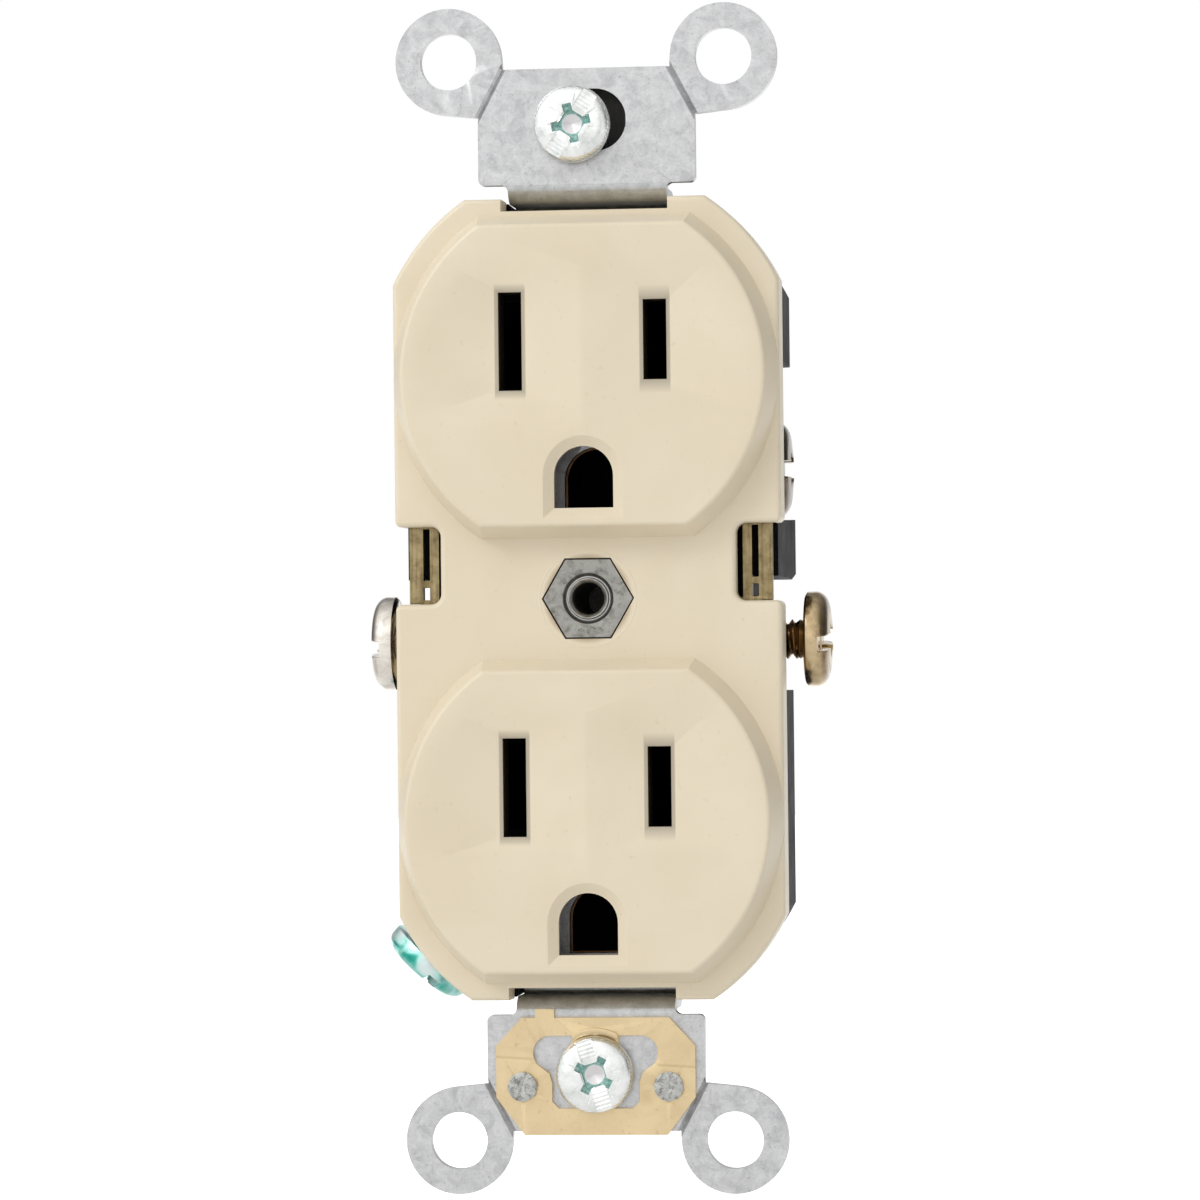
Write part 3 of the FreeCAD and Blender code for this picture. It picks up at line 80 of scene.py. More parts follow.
class Shade:
    """A small builder for a node material. Values pass between its methods as output sockets."""

    def __init__(self, name):
        self.mat = bpy.data.materials.new(name)
        self.mat.use_nodes = True
        self.tree = self.mat.node_tree
        self.tree.nodes.clear()
        out = self.tree.nodes.new("ShaderNodeOutputMaterial")
        self.bsdf = self.tree.nodes.new("ShaderNodeBsdfPrincipled")
        self.join(self.bsdf.outputs["BSDF"], out.inputs["Surface"])
        self.place = self.tree.nodes.new("ShaderNodeTexCoord").outputs["Object"]
        self.relief = None

    def join(self, output, into):
        self.tree.links.new(output, into)

    def node(self, kind, operation=None, **inputs):
        made = self.tree.nodes.new(kind)
        if operation:
            made.operation = operation
        for key, value in inputs.items():
            socket = made.inputs[key.replace("_", " ")]
            if isinstance(value, bpy.types.NodeSocket):
                self.join(value, socket)
            else:
                socket.default_value = value
        return made

    def scaled(self, size):
        """Object coordinates divided by a size in metres along each axis."""
        sizes = size if hasattr(size, "__len__") else (size,) * 3
        return self.node("ShaderNodeMapping", Vector=self.place, Scale=[1 / s for s in sizes]).outputs[0]

    def noise(self, size, detail=4.0, rough=0.55, distort=0.0):
        made = self.node("ShaderNodeTexNoise", Vector=self.scaled(size), Scale=1.0, Detail=detail,
                         Roughness=rough, Distortion=distort)
        return made.outputs["Fac"]

    def cells(self, size):
        return self.node("ShaderNodeTexVoronoi", Vector=self.scaled(size), Scale=1.0).outputs["Distance"]

    def axis(self, name):
        return self.node("ShaderNodeSeparateXYZ", Vector=self.place).outputs[name]

    def radius_about(self, x=0.0, z=0.0):
        """Distance from an axis that runs along Y."""
        off = self.node("ShaderNodeVectorMath", "SUBTRACT")
        self.join(self.place, off.inputs[0])
        off.inputs[1].default_value = (x, 0, z)
        flat = self.node("ShaderNodeVectorMath", "MULTIPLY")
        self.join(off.outputs[0], flat.inputs[0])
        flat.inputs[1].default_value = (1, 0, 1)
        length = self.node("ShaderNodeVectorMath", "LENGTH")
        self.join(flat.outputs[0], length.inputs[0])
        return length.outputs["Value"]

    def screw_place(self):
        """Distance from a screw's axis, height over its head's underside and place along its slot, mm."""
        made = self.node("ShaderNodeAttribute")
        made.attribute_name = "screw_mm"
        split = self.node("ShaderNodeSeparateXYZ", Vector=made.outputs["Vector"])
        x, y, z = (split.outputs[k] for k in range(3))
        squares = self.math("ADD", self.math("MULTIPLY", x, x), self.math("MULTIPLY", y, y))
        return self.math("SQRT", squares), z, x

    def math(self, operation, a, b=0.0):
        made = self.node("ShaderNodeMath", operation)
        for value, socket in ((a, made.inputs[0]), (b, made.inputs[1])):
            if isinstance(value, bpy.types.NodeSocket):
                self.join(value, socket)
            else:
                socket.default_value = value
        return made.outputs[0]

    def span(self, value, low, high, to_low=0.0, to_high=1.0):
        """Maps a value from low..high to to_low..to_high and holds it there."""
        made = self.node("ShaderNodeMapRange", Value=value)
        for key, number in (("From Min", low), ("From Max", high), ("To Min", to_low), ("To Max", to_high)):
            made.inputs[key].default_value = number
        return made.outputs["Result"]

    def band(self, value, middle, half, soft):
        """1 within half of the middle, falling to 0 over soft on both sides."""
        away = self.math("ABSOLUTE", self.math("SUBTRACT", value, middle))
        return self.span(away, half, half + soft, 1.0, 0.0)

    def ramp(self, value, stops):
        made = self.node("ShaderNodeValToRGB", Fac=value)
        ramp = made.color_ramp
        while len(ramp.elements) < len(stops):
            ramp.elements.new(0.5)
        for element, (where, color) in zip(ramp.elements, stops):
            element.position = where
            element.color = color
        return made.outputs["Color"]

    def mix(self, amount, a, b, blend="MIX"):
        """Mixes two colours; each value is a number, a colour or a socket."""
        made = self.node("ShaderNodeMix")
        made.data_type = "RGBA"
        made.blend_type = blend
        for value, socket in ((amount, made.inputs[0]), (a, made.inputs[6]), (b, made.inputs[7])):
            if isinstance(value, bpy.types.NodeSocket):
                self.join(value, socket)
            else:
                socket.default_value = value
        return made.outputs[2]

    def darken(self, color, mask, tint):
        """Multiplies a colour by a tint where the mask is 1."""
        return self.mix(mask, color, tint, "MULTIPLY")

    def bump(self, height, strength, distance):
        made = self.node("ShaderNodeBump", Height=height, Strength=strength, Distance=distance)
        if self.relief:
            self.join(self.relief, made.inputs["Normal"])
        self.relief = made.outputs["Normal"]

    def finish(self, color, roughness, **values):
        self.join(color, self.bsdf.inputs["Base Color"])
        self.join(roughness, self.bsdf.inputs["Roughness"])
        for key, value in values.items():
            self.bsdf.inputs[key.replace("_", " ")].default_value = value
        if self.relief:
            self.join(self.relief, self.bsdf.inputs["Normal"])
        return self.mat


# ------------------------------------------------------------------ materials

HEX_CORNER = 3.93 * MM      # centre rivet's hexagon, to a corner
GROOVE_R = 2.08 * MM        # ring groove in the hexagon
BORE_R = 1.4 * MM           # tapped hole in the hexagon
WITNESS_R = 4.25 * MM       # faint ring that the rivet's setting tool leaves on the cover
PLATE_FOOT = 36.6 * MM      # where the strap's plates begin, from the middle
NECK_START = 30.0 * MM      # nearer the middle than this, the strap is inside the body
BLADE_X = 6.35 * MM         # blade slots, from the cover's middle line
BLADE_MID_Z = 3.0 * MM      # halfway between the two pairs of blade slots
BLADE_HALF_Z = 19.45 * MM   # each pair, from there
BLADE_HALF = (1.3 * MM, 4.8 * MM)                   # half the width and height of their painted shade mask
SLOT_LIP_Y = -6.1 * MM      # behind this the walls of the blade slots get painted shade
SEEN_X = 13.4 * MM          # further in than this, the strips are inside the base
UNUSED_Z = 5.0 * MM         # the terminal screws above this are the unused pair
SLOT_FLOOR = 1.20           # height of a box screw's slot floor over its head's underside, mm
CROSS_R = 2.2               # reach of its cross, mm
PUNCH_R = 0.85              # of the punched centre in the cross, mm
RIB_PITCH = 0.36            # of the tool marks across its slot's floor, mm
SHOULDER = (1.45, 1.85)     # heights between which a terminal head's side turns into its crown, mm
DIMPLE = (4.6 * MM, -43.9 * MM)                     # x and z of the clip's struck dimple
DIMPLE_R = 0.95 * MM
FOLD_Z, FOLD_SLANT = -40.65 * MM, 0.053             # the clip's fold line, and its fall with x
FOLD_X = 5.6 * MM           # the fold shows outside this


def ivory():
    """Moulded thermoplastic: even colour, faint flow clouds, fine matt grain and a soft gloss; painted shade round
    the rivet's hexagon and on the walls deep in the blade slots.
    """
    s = Shade("ivory_plastic")
    tone = s.ramp(s.noise(0.011, 3, 0.5, 0.4), [(0.3, srgb(219, 206, 180)), (0.7, srgb(225, 213, 189))])
    speck = s.ramp(s.noise(0.0006, 2, 0.5), [(0.22, (0.93, 0.92, 0.89, 1)), (0.34, WHITE)])
    color = s.mix(1.0, tone, speck, "MULTIPLY")
    about = s.radius_about()
    # painted shade on the cover under and round the rivet's hexagon
    recess = s.span(about, HEX_CORNER * 1.02, HEX_CORNER * 0.9, 0.0, 0.8)
    color = s.darken(color, recess, (0.50, 0.43, 0.33, 1))
    beside = s.band(s.math("ABSOLUTE", s.axis("X")), BLADE_X, BLADE_HALF[0], 0.1 * MM)
    level = s.math("ABSOLUTE", s.math("SUBTRACT", s.axis("Z"), BLADE_MID_Z))
    slots = s.math("MULTIPLY", beside, s.band(level, BLADE_HALF_Z, BLADE_HALF[1], 0.4 * MM))
    slots = s.math("MULTIPLY", slots, s.span(s.axis("Y"), SLOT_LIP_Y, SLOT_LIP_Y + 0.8 * MM))
    # painted shade on the walls deep inside the blade slots
    color = s.darken(color, slots, (0.05, 0.045, 0.035, 1))
    s.bump(s.noise(0.00022, 3, 0.6), 0.10, 0.04 * MM)
    s.bump(s.noise(0.009, 2, 0.5), 0.10, 0.3 * MM)
    s.bump(s.band(about, WITNESS_R, 0.04 * MM, 0.07 * MM), 0.35, 0.05 * MM)
    s.bsdf.inputs["Subsurface Radius"].default_value = (1.0, 0.7, 0.4)
    return s.finish(color, s.span(s.noise(0.0035, 4, 0.6), 0.2, 0.8, 0.32, 0.5), Subsurface_Weight=0.06,
                    Subsurface_Scale=0.5 * MM, Specular_IOR_Level=0.45, Coat_Weight=0.1, Coat_Roughness=0.3)


def black():
    """Black moulding: satin, with a faint orange-peel, dust in its grain and fine handling scratches."""
    s = Shade("black_plastic")
    dust = s.noise(0.0009, 6, 0.7)
    color = s.ramp(dust, [(0.5, (0.007, 0.0075, 0.007, 1)), (0.8, (0.024, 0.024, 0.023, 1))])
    lines = s.band(s.noise((0.00025, 0.0025, 0.012), 3, 0.6, 0.6), 0.5, 0.01, 0.03)
    s.bump(lines, 0.08, 0.03 * MM)
    s.bump(s.noise(0.0022, 2, 0.5), 0.14, 0.14 * MM)
    return s.finish(color, s.span(s.noise(0.004, 5, 0.65), 0.2, 0.8, 0.4, 0.6), Specular_IOR_Level=0.02)


def zinc_tone(s, light, dark, patch):
    """Zinc plate: mottled spangle, drawn streaks and small dark specks."""
    blotch = s.noise(patch, 7, 0.72, 0.6)
    bright_end = tuple(min(1, c * 1.16) for c in light[:3]) + (1,)
    tone = s.ramp(blotch, [(0.32, dark), (0.52, light), (0.72, bright_end)])
    fine = s.ramp(s.noise(patch * 0.16, 4, 0.7), [(0.3, (0.80, 0.81, 0.81, 1)), (0.6, WHITE)])
    tone = s.mix(0.6, tone, fine, "MULTIPLY")
    drawn = s.noise((0.0016, 0.0016, 0.00014), 4, 0.7)
    streak = s.ramp(drawn, [(0.32, (0.86, 0.87, 0.86, 1)), (0.6, WHITE)])
    tone = s.mix(0.35, tone, streak, "MULTIPLY")
    pits = s.ramp(s.cells(0.0007), [(0.04, (0.4, 0.4, 0.39, 1)), (0.16, WHITE)])
    return s.mix(0.5, tone, pits, "MULTIPLY"), blotch


def plated_relief(s, grain, waves):
    """Fine grain and coarse waves of a zinc plate, each with its own strength."""
    s.bump(s.noise(0.00035, 5, 0.7), grain, 0.03 * MM)
    s.bump(s.noise(0.0012, 3, 0.6), waves, 0.08 * MM)


def rivet_steel():
    """Small bright zinc heads in fine patches."""
    s = Shade("rivet_steel")
    color, blotch = zinc_tone(s, srgb(196, 196, 192), srgb(96, 96, 92), 0.0005)
    plated_relief(s, 0.25, 0.16)
    return s.finish(color, s.span(blotch, 0.2, 0.8, 0.16, 0.4), Metallic=1.0)


def strap_steel():
    """Zinc plate, with a faint cool painted shade on the necks that run back into the body."""
    s = Shade("strap_steel")
    color, blotch = zinc_tone(s, srgb(210, 210, 211), srgb(186, 186, 188), 0.0013)
    height = s.math("ABSOLUTE", s.axis("Z"))
    below = s.span(height, PLATE_FOOT, PLATE_FOOT - 0.3 * MM)
    neck = s.math("MULTIPLY", below, s.span(height, NECK_START, NECK_START + 1.0 * MM))
    # painted shade: a faint cool darkening on the necks where they bend back into the body
    color = s.darken(color, neck, (0.98, 1.0, 1.0, 1))
    plated_relief(s, 0.3, 0.2)
    return s.finish(color, s.span(blotch, 0.2, 0.8, 0.3, 0.5), Metallic=1.0)


def hex_steel():
    """The rivet's plate: painted shade in the ring groove and down the tapped hole, and a painted highlight on a
    ring round the hole.
    """
    s = Shade("hex_steel")
    color, blotch = zinc_tone(s, srgb(166, 164, 158), srgb(108, 105, 98), 0.0009)
    about = s.radius_about()
    # painted shade in the ring groove
    color = s.darken(color, s.band(about, GROOVE_R, 0.10 * MM, 0.10 * MM), grey(0.22))
    # painted shade down the tapped hole
    inside = s.span(about, BORE_R * 0.97, BORE_R * 1.02, 1.0, 0.0)
    color = s.darken(color, inside, grey(0.16))
    # painted highlight on a ring just outside the tapped hole
    color = s.mix(s.band(about, BORE_R * 1.3, 0.05 * MM, 0.08 * MM), color, srgb(224, 223, 218))
    s.bump(s.noise(0.00035, 5, 0.7), 0.35, 0.04 * MM)
    return s.finish(color, s.span(blotch, 0.2, 0.8, 0.3, 0.52), Metallic=1.0)


def bright_tone(s, light, shade, spot):
    """Bright-plated turned or cold-headed metal: cloudy tarnish with dark grime in its pores."""
    cloud = s.noise(spot, 5, 0.62, 0.5)
    tone = s.ramp(cloud, [(0.32, shade), (0.6, light)])
    grime = s.ramp(s.noise(0.0004, 4, 0.7), [(0.24, (0.5, 0.45, 0.38, 1)), (0.4, WHITE)])
    return s.mix(0.6, tone, grime, "MULTIPLY"), cloud


def headed_relief(s, waves=0.18):
    """The fine grain and the shallow waves of cold-headed metal."""
    s.bump(s.noise(0.00028, 4, 0.65), 0.16, 0.03 * MM)
    s.bump(s.noise(0.0011, 2, 0.5), waves, 0.1 * MM)


def bright(name, light, shade, low, high):
    s = Shade(name)
    color, cloud = bright_tone(s, light, shade, 0.0017)
    headed_relief(s)
    return s.finish(color, s.span(cloud, 0.25, 0.75, low, high), Metallic=1.0)


def terminal_metal(name, light, shade, worn):
    """A terminal screw's plating: dark down its thread, painted shade at its crown's edge, darker on the upper
    screw.
    """
    s = Shade(name)
    color, cloud = bright_tone(s, light, shade, 0.0017)
    about, height, _ = s.screw_place()
    color = s.darken(color, s.span(height, 0.0, -0.05), (0.42, 0.34, 0.27, 1))
    # the upper screw on each side is made darker by the tint it is given
    color = s.darken(color, s.span(s.axis("Z"), UNUSED_Z, UNUSED_Z + 1.0 * MM), worn)
    # painted shade round the edge of the crown
    shoulder = s.math("MULTIPLY", s.span(height, *SHOULDER), s.span(about, 2.2, 2.7))
    color = s.darken(color, shoulder, (0.38, 0.36, 0.35, 1))
    headed_relief(s)
    return s.finish(color, s.span(cloud, 0.25, 0.75, 0.1, 0.26), Metallic=1.0)


def box_screw_steel():
    """Bright zinc: blue-green passivate in the cross, a clean punched centre and a ribbed slot floor."""
    s = Shade("box_screw_steel")
    color, cloud = bright_tone(s, srgb(252, 253, 252), srgb(222, 226, 223), 0.0017)
    about, height, along = s.screw_place()
    head = s.span(height, 0.05, 0.1)
    deep = s.math("MULTIPLY", head, s.span(height, SLOT_FLOOR - 0.1, SLOT_FLOOR - 0.2))
    deep = s.math("MULTIPLY", deep, s.span(about, CROSS_R, CROSS_R - 0.1))
    walls = s.math("MULTIPLY", deep, s.span(about, PUNCH_R - 0.1, PUNCH_R + 0.1))
    dye = s.ramp(s.noise(0.0003, 3, 0.6), [(0.35, srgb(96, 150, 142)), (0.65, srgb(166, 196, 190))])
    color = s.mix(walls, color, s.mix(1.0, color, dye, "MULTIPLY"))
    punched = s.math("MULTIPLY", deep, s.span(about, PUNCH_R, PUNCH_R - 0.1))
    color = s.mix(punched, color, srgb(222, 219, 220))
    s.bump(s.math("MULTIPLY", deep, s.span(about, 0.0, PUNCH_R - 0.05)), 0.7, 0.25 * MM)
    floor = s.math("MULTIPLY", s.band(height, SLOT_FLOOR, 0.03, 0.04), s.span(about, 1.5, 1.7))
    ribs = s.math("SINE", s.math("MULTIPLY", along, 2 * math.pi / RIB_PITCH))
    s.bump(s.math("MULTIPLY", floor, ribs), 0.5, 0.05 * MM)
    headed_relief(s, 0.22)
    return s.finish(color, s.span(cloud, 0.25, 0.75, 0.14, 0.3), Metallic=1.0)


def strip_brass():
    """Rolled strip: drawn lengthwise streaks, and painted shade where it runs inside the base."""
    s = Shade("strip_brass")
    color, cloud = bright_tone(s, srgb(174, 158, 120), srgb(128, 112, 82), 0.0012)
    drawn = s.noise((0.00022, 0.00022, 0.006), 3, 0.6)
    streak = s.ramp(drawn, [(0.36, (0.62, 0.56, 0.44, 1)), (0.58, WHITE)])
    color = s.mix(0.75, color, streak, "MULTIPLY")
    across = s.span(s.math("ABSOLUTE", s.axis("X")), SEEN_X, SEEN_X + 0.5 * MM, 1.0, 0.0)
    inside_shade = s.math("MULTIPLY", across, s.span(s.axis("Y"), -0.6 * MM, 0.4 * MM))
    # painted shade on the strips where they run inside the base
    color = s.darken(color, inside_shade, (0.07, 0.045, 0.03, 1))
    s.bump(s.noise((0.0002, 0.0002, 0.004), 3, 0.6), 0.14, 0.03 * MM)
    return s.finish(color, s.span(cloud, 0.25, 0.75, 0.26, 0.46), Metallic=1.0)


def clip_brass():
    """Pale satin sheet, with a faint fold line across each side and a struck dimple, each with painted shade."""
    s = Shade("clip_brass")
    color, cloud = bright_tone(s, srgb(231, 209, 168), srgb(220, 197, 156), 0.004)
    outward = s.span(s.math("ABSOLUTE", s.axis("X")), FOLD_X - 0.3 * MM, FOLD_X)
    level = s.math("ADD", s.axis("Z"), s.math("MULTIPLY", s.axis("X"), FOLD_SLANT))
    fold = s.math("MULTIPLY", s.band(level, FOLD_Z, 0.04 * MM, 0.16 * MM), outward)
    # painted shade along the fold line
    color = s.darken(color, s.math("MULTIPLY", fold, 0.3), (0.62, 0.55, 0.45, 1))
    s.bump(fold, 0.3, -0.05 * MM)
    dimple = s.span(s.radius_about(*DIMPLE), DIMPLE_R, 0.2 * MM)
    # painted shade in the dimple
    color = s.darken(color, s.math("MULTIPLY", dimple, 0.25), (0.6, 0.5, 0.4, 1))
    s.bump(dimple, 0.4, -0.12 * MM)
    s.bump(s.noise(0.0003, 4, 0.65), 0.12, 0.03 * MM)
    return s.finish(color, s.span(cloud, 0.25, 0.75, 0.3, 0.46), Metallic=1.0)


def green():
    """Zinc plate under a translucent green dye, thin and silvery where it is worn."""
    s = Shade("green_screw")
    cloud = s.noise(0.0026, 2, 0.5, 0.4)
    dye = [(0.24, srgb(10, 116, 98)), (0.40, srgb(52, 176, 158)),
           (0.50, srgb(176, 232, 224)), (0.66, srgb(226, 242, 240))]
    color = s.ramp(cloud, dye)
    s.bump(s.noise(0.0003, 4, 0.65), 0.16, 0.03 * MM)
    s.bump(s.noise(0.0011, 2, 0.5), 0.2, 0.12 * MM)
    return s.finish(color, s.span(cloud, 0.25, 0.75, 0.16, 0.34), Metallic=0.9, Coat_Weight=0.3,
                    Coat_Roughness=0.15)


def fibre():
    """Pressed grey-black fibre board with short matted strands."""
    s = Shade("fibre")
    strand = s.noise((0.00012, 0.00012, 0.0009), 5, 0.7, 1.2)
    color = s.ramp(strand, [(0.3, (0.008, 0.008, 0.008, 1)), (0.7, (0.03, 0.028, 0.026, 1))])
    s.bump(strand, 0.5, 0.06 * MM)
    return s.finish(color, s.span(strand, 0.2, 0.8, 0.75, 0.95))


LINE_UPPER_TINT = (0.36, 0.36, 0.38, 1)       # tint of the unused upper screw on each side
NEUTRAL_UPPER_TINT = (0.7, 0.7, 0.7, 1)

MATS = {
    "ivory_plastic": ivory(),
    "black_plastic": black(),
    "strap_steel": strap_steel(),
    "rivet_steel": rivet_steel(),
    "hex_steel": hex_steel(),
    "box_screw_steel": box_screw_steel(),
    "strip_brass": strip_brass(),
    # painted shade: the earth contacts' brass is made very dark, as they sit deep behind the earth holes
    "earth_brass": bright("earth_brass", srgb(120, 92, 66), srgb(82, 60, 44), 0.3, 0.5),
    "line_brass": terminal_metal("line_brass", srgb(208, 186, 148), srgb(160, 138, 102), LINE_UPPER_TINT),
    "neutral_nickel": terminal_metal("neutral_nickel", srgb(244, 238, 228), srgb(206, 198, 188),
                                     NEUTRAL_UPPER_TINT),
    "clip_brass": clip_brass(),
    "spring_bronze": bright("spring_bronze", srgb(206, 160, 118), srgb(150, 108, 76), 0.2, 0.36),
    "green_screw": green(),
    "fibre": fibre(),
}

for node, piece in NODES.items():
    piece.data.materials.clear()
    piece.data.materials.append(MATS[SLOT_OF[node]])

# ------------------------------------------------------------------ mesh tools


def add_object(name, mesh):
    obj = bpy.data.objects.new(name, mesh)
    SCENE.collection.objects.link(obj)
    return obj


def mesh_from(name, bm):
    mesh = bpy.data.meshes.new(name)
    bm.to_mesh(mesh)
    bm.free()
    return add_object(name, mesh)


def settle(obj):
    """Applies an object's modifiers to its mesh."""
    bpy.context.view_layer.update()
    graph = bpy.context.evaluated_depsgraph_get()
    mesh = bpy.data.meshes.new_from_object(obj.evaluated_get(graph))
    obj.modifiers.clear()
    obj.data = mesh


def combine(obj, tool, operation):
    """A boolean of two objects, which uses the tool up."""
    boolean = obj.modifiers.new("combine", "BOOLEAN")
    boolean.operation = operation
    boolean.solver = "EXACT"
    boolean.object = tool
    settle(obj)
    bpy.data.objects.remove(tool)


def round_edges(obj, width, segments, angle):
    bevel = obj.modifiers.new("round", "BEVEL")
    bevel.width = width
    bevel.segments = segments
    bevel.limit_method = "ANGLE"
    bevel.angle_limit = math.radians(angle)
    bevel.miter_outer = "MITER_ARC"
    settle(obj)


def smooth(obj, angle):
    for poly in obj.data.polygons:
        poly.use_smooth = True
    obj.data.set_sharp_from_angle(angle=math.radians(angle))


def even_normals(obj):
    """Weights the normals by face area, so that flat faces shade flat beside a rounded edge."""
    weight = obj.modifiers.new("normals", "WEIGHTED_NORMAL")
    weight.keep_sharp = True
    weight.weight = 80
    settle(obj)


def store_place(obj, turn):
    """Writes each point's place in the screw's own frame, in mm, with the slot along X."""
    layer = obj.data.attributes.new("screw_mm", "FLOAT_VECTOR", "POINT")
    back = Matrix.Rotation(math.radians(-turn), 3, "Z")
    for point, item in zip(obj.data.vertices, layer.data):
        item.vector = back @ point.co / MM


def stand_for(obj, node):
    """Gives a piece the material and the body of a CAD node, and hides the node in its place."""
    obj.data.materials.clear()
    obj.data.materials.append(MATS[SLOT_OF[node]])
    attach(obj, BODY_OF[node])
    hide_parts(node)


def cleaned_copy(node):
    """A copy of a CAD node's mesh, with slivers gone and its flat regions in as few faces as hold flat."""
    bm = bmesh.new()
    bm.from_mesh(NODES[node].data)
    tiny = 0.002 * MM
    bmesh.ops.remove_doubles(bm, verts=bm.verts, dist=tiny)
    bmesh.ops.dissolve_degenerate(bm, edges=bm.edges, dist=tiny)
    bmesh.ops.dissolve_limit(bm, angle_limit=math.radians(0.6), verts=bm.verts, edges=bm.edges,
                             delimit={"NORMAL"})
    bmesh.ops.triangulate(bm, faces=[face for face in bm.faces if len(face.verts) > 4])
    return mesh_from(node + "_finish", bm)


def block(x0, x1, y0, y1, z0, z1, taper=0.0):
    """A box in mm with its lower face smaller by taper on each side."""
    bm = bmesh.new()
    corners = [(x0, y0), (x1, y0), (x1, y1), (x0, y1)]
    inward = [(1, 1), (-1, 1), (-1, -1), (1, -1)]
    low = [bm.verts.new(((x + dx * taper) * MM, (y + dy * taper) * MM, z0 * MM))
           for (x, y), (dx, dy) in zip(corners, inward)]
    high = [bm.verts.new((x * MM, y * MM, z1 * MM)) for x, y in corners]
    bm.faces.new(low[::-1])
    bm.faces.new(high)
    for k in range(4):
        m = (k + 1) % 4
        bm.faces.new([low[k], low[m], high[m], high[k]])
    return mesh_from("tool", bm)


def revolve(name, profile, steps=96):
    """A closed solid about Z from an (r, z) profile in mm that starts and ends on the axis."""
    bm = bmesh.new()
    rings = []
    for r, z in profile:
        turns = [2 * math.pi * k / steps for k in range(steps)] if r > 0 else [0.0]
        rings.append([bm.verts.new((r * MM * math.cos(a), r * MM * math.sin(a), z * MM)) for a in turns])
    for low, high in zip(rings, rings[1:]):
        for k in range(steps):
            m = (k + 1) % steps
            corners = [low[k % len(low)], low[m % len(low)], high[m % len(high)], high[k % len(high)]]
            bm.faces.new(list(dict.fromkeys(corners)))
    bmesh.ops.recalc_face_normals(bm, faces=bm.faces)
    return mesh_from(name, bm)


# ------------------------------------------------------------------ moulded and stamped pieces

BACK_Y = cad_high.y / MM - 0.72     # the base's rear face; only the rivet's tail stands behind it
EJECTOR_R = 1.6
EJECTOR_DEPTH, GAUGE_DEPTH = 0.12, 0.3
EJECTORS = [(x, z) for x in (-6.5, 6.5) for z in (-27.5, -14.0, 24.0)]
GAUGE = (-8.0, 8.0, 8.6, 9.6)       # x and z of the groove that shows how much insulation to strip


def mark_back(base):
    """Ejector-pin marks and the strip gauge, moulded into the base's rear face."""
    tools = []
    for x, z in EJECTORS:
        outline = [(0, -EJECTOR_DEPTH), (EJECTOR_R, -EJECTOR_DEPTH), (EJECTOR_R, 0.5), (0, 0.5)]
        pin = revolve("tool", outline, 40)
        place = Matrix.Translation(Vector((x, BACK_Y, z)) * MM)
        pin.data.transform(place @ Matrix.Rotation(-math.pi / 2, 4, "X"))
        tools.append(pin)
    x0, x1, z0, z1 = GAUGE
    tools.append(block(x0, x1, BACK_Y - GAUGE_DEPTH, BACK_Y + 0.5, z0, z1))
    for tool in tools:
        combine(base, tool, "DIFFERENCE")


SOFT = {   # node: edge radius in mm
    "face_cover": 0.16,
    "back_body": 0.14,
    "mounting_strap": 0.12,
    "line_contact_strip": 0.07,
    "neutral_contact_strip": 0.07,
    "upper_earth_contact": 0.05,
    "lower_earth_contact": 0.05,
    "screw_retainer": 0.08,
    "grounding_clip": 0.06,
    "center_rivet": 0.07,
    "clip_rivet_left": 0.05,
    "clip_rivet_right": 0.05,
    "earth_contact_rivets": 0.05,
}
SOFT.update({node: 0.04 for node in NODES if "wire_spring" in node})
for node, radius in SOFT.items():
    piece = cleaned_copy(node)
    if node == "back_body":
        mark_back(piece)
    round_edges(piece, radius * MM, 3 if node == "face_cover" else 2, 32)
    smooth(piece, 35)
    even_normals(piece)
    stand_for(piece, node)

# ------------------------------------------------------------------ screws

PITCH = 0.794                                      # lengths in this section are in mm
MAJOR_R = 1.75
MINOR_R = 1.36
TURN_STEPS = 36                                    # columns of points round the thread
CREST, ROOT_START, ROOT_END = 0.12, 0.47, 0.65     # shares of a pitch
UNDER = 0.02                                       # keeps a seated head just clear of its plate
RIM_SHARE = 0.6                                    # beyond this share of its radius, only the head is left
POINT = 0.5                                        # chamfer at a screw's tip, and the thread's run-out
TIP_R = 0.55                                       # flat at the tip
NECK_TOP = 0.15                                    # the neck ends this far inside the head


def thread_radius(phase):
    """Radius of the thread for a place within one pitch: sloped flanks, narrow flats."""
    phase %= 1.0
    if phase < CREST:
        return MAJOR_R
    if phase < ROOT_START:
        return MAJOR_R + (MINOR_R - MAJOR_R) * (phase - CREST) / (ROOT_START - CREST)
    if phase < ROOT_END:
        return MINOR_R
    return MINOR_R + (MAJOR_R - MINOR_R) * (phase - ROOT_END) / (1 - ROOT_END)


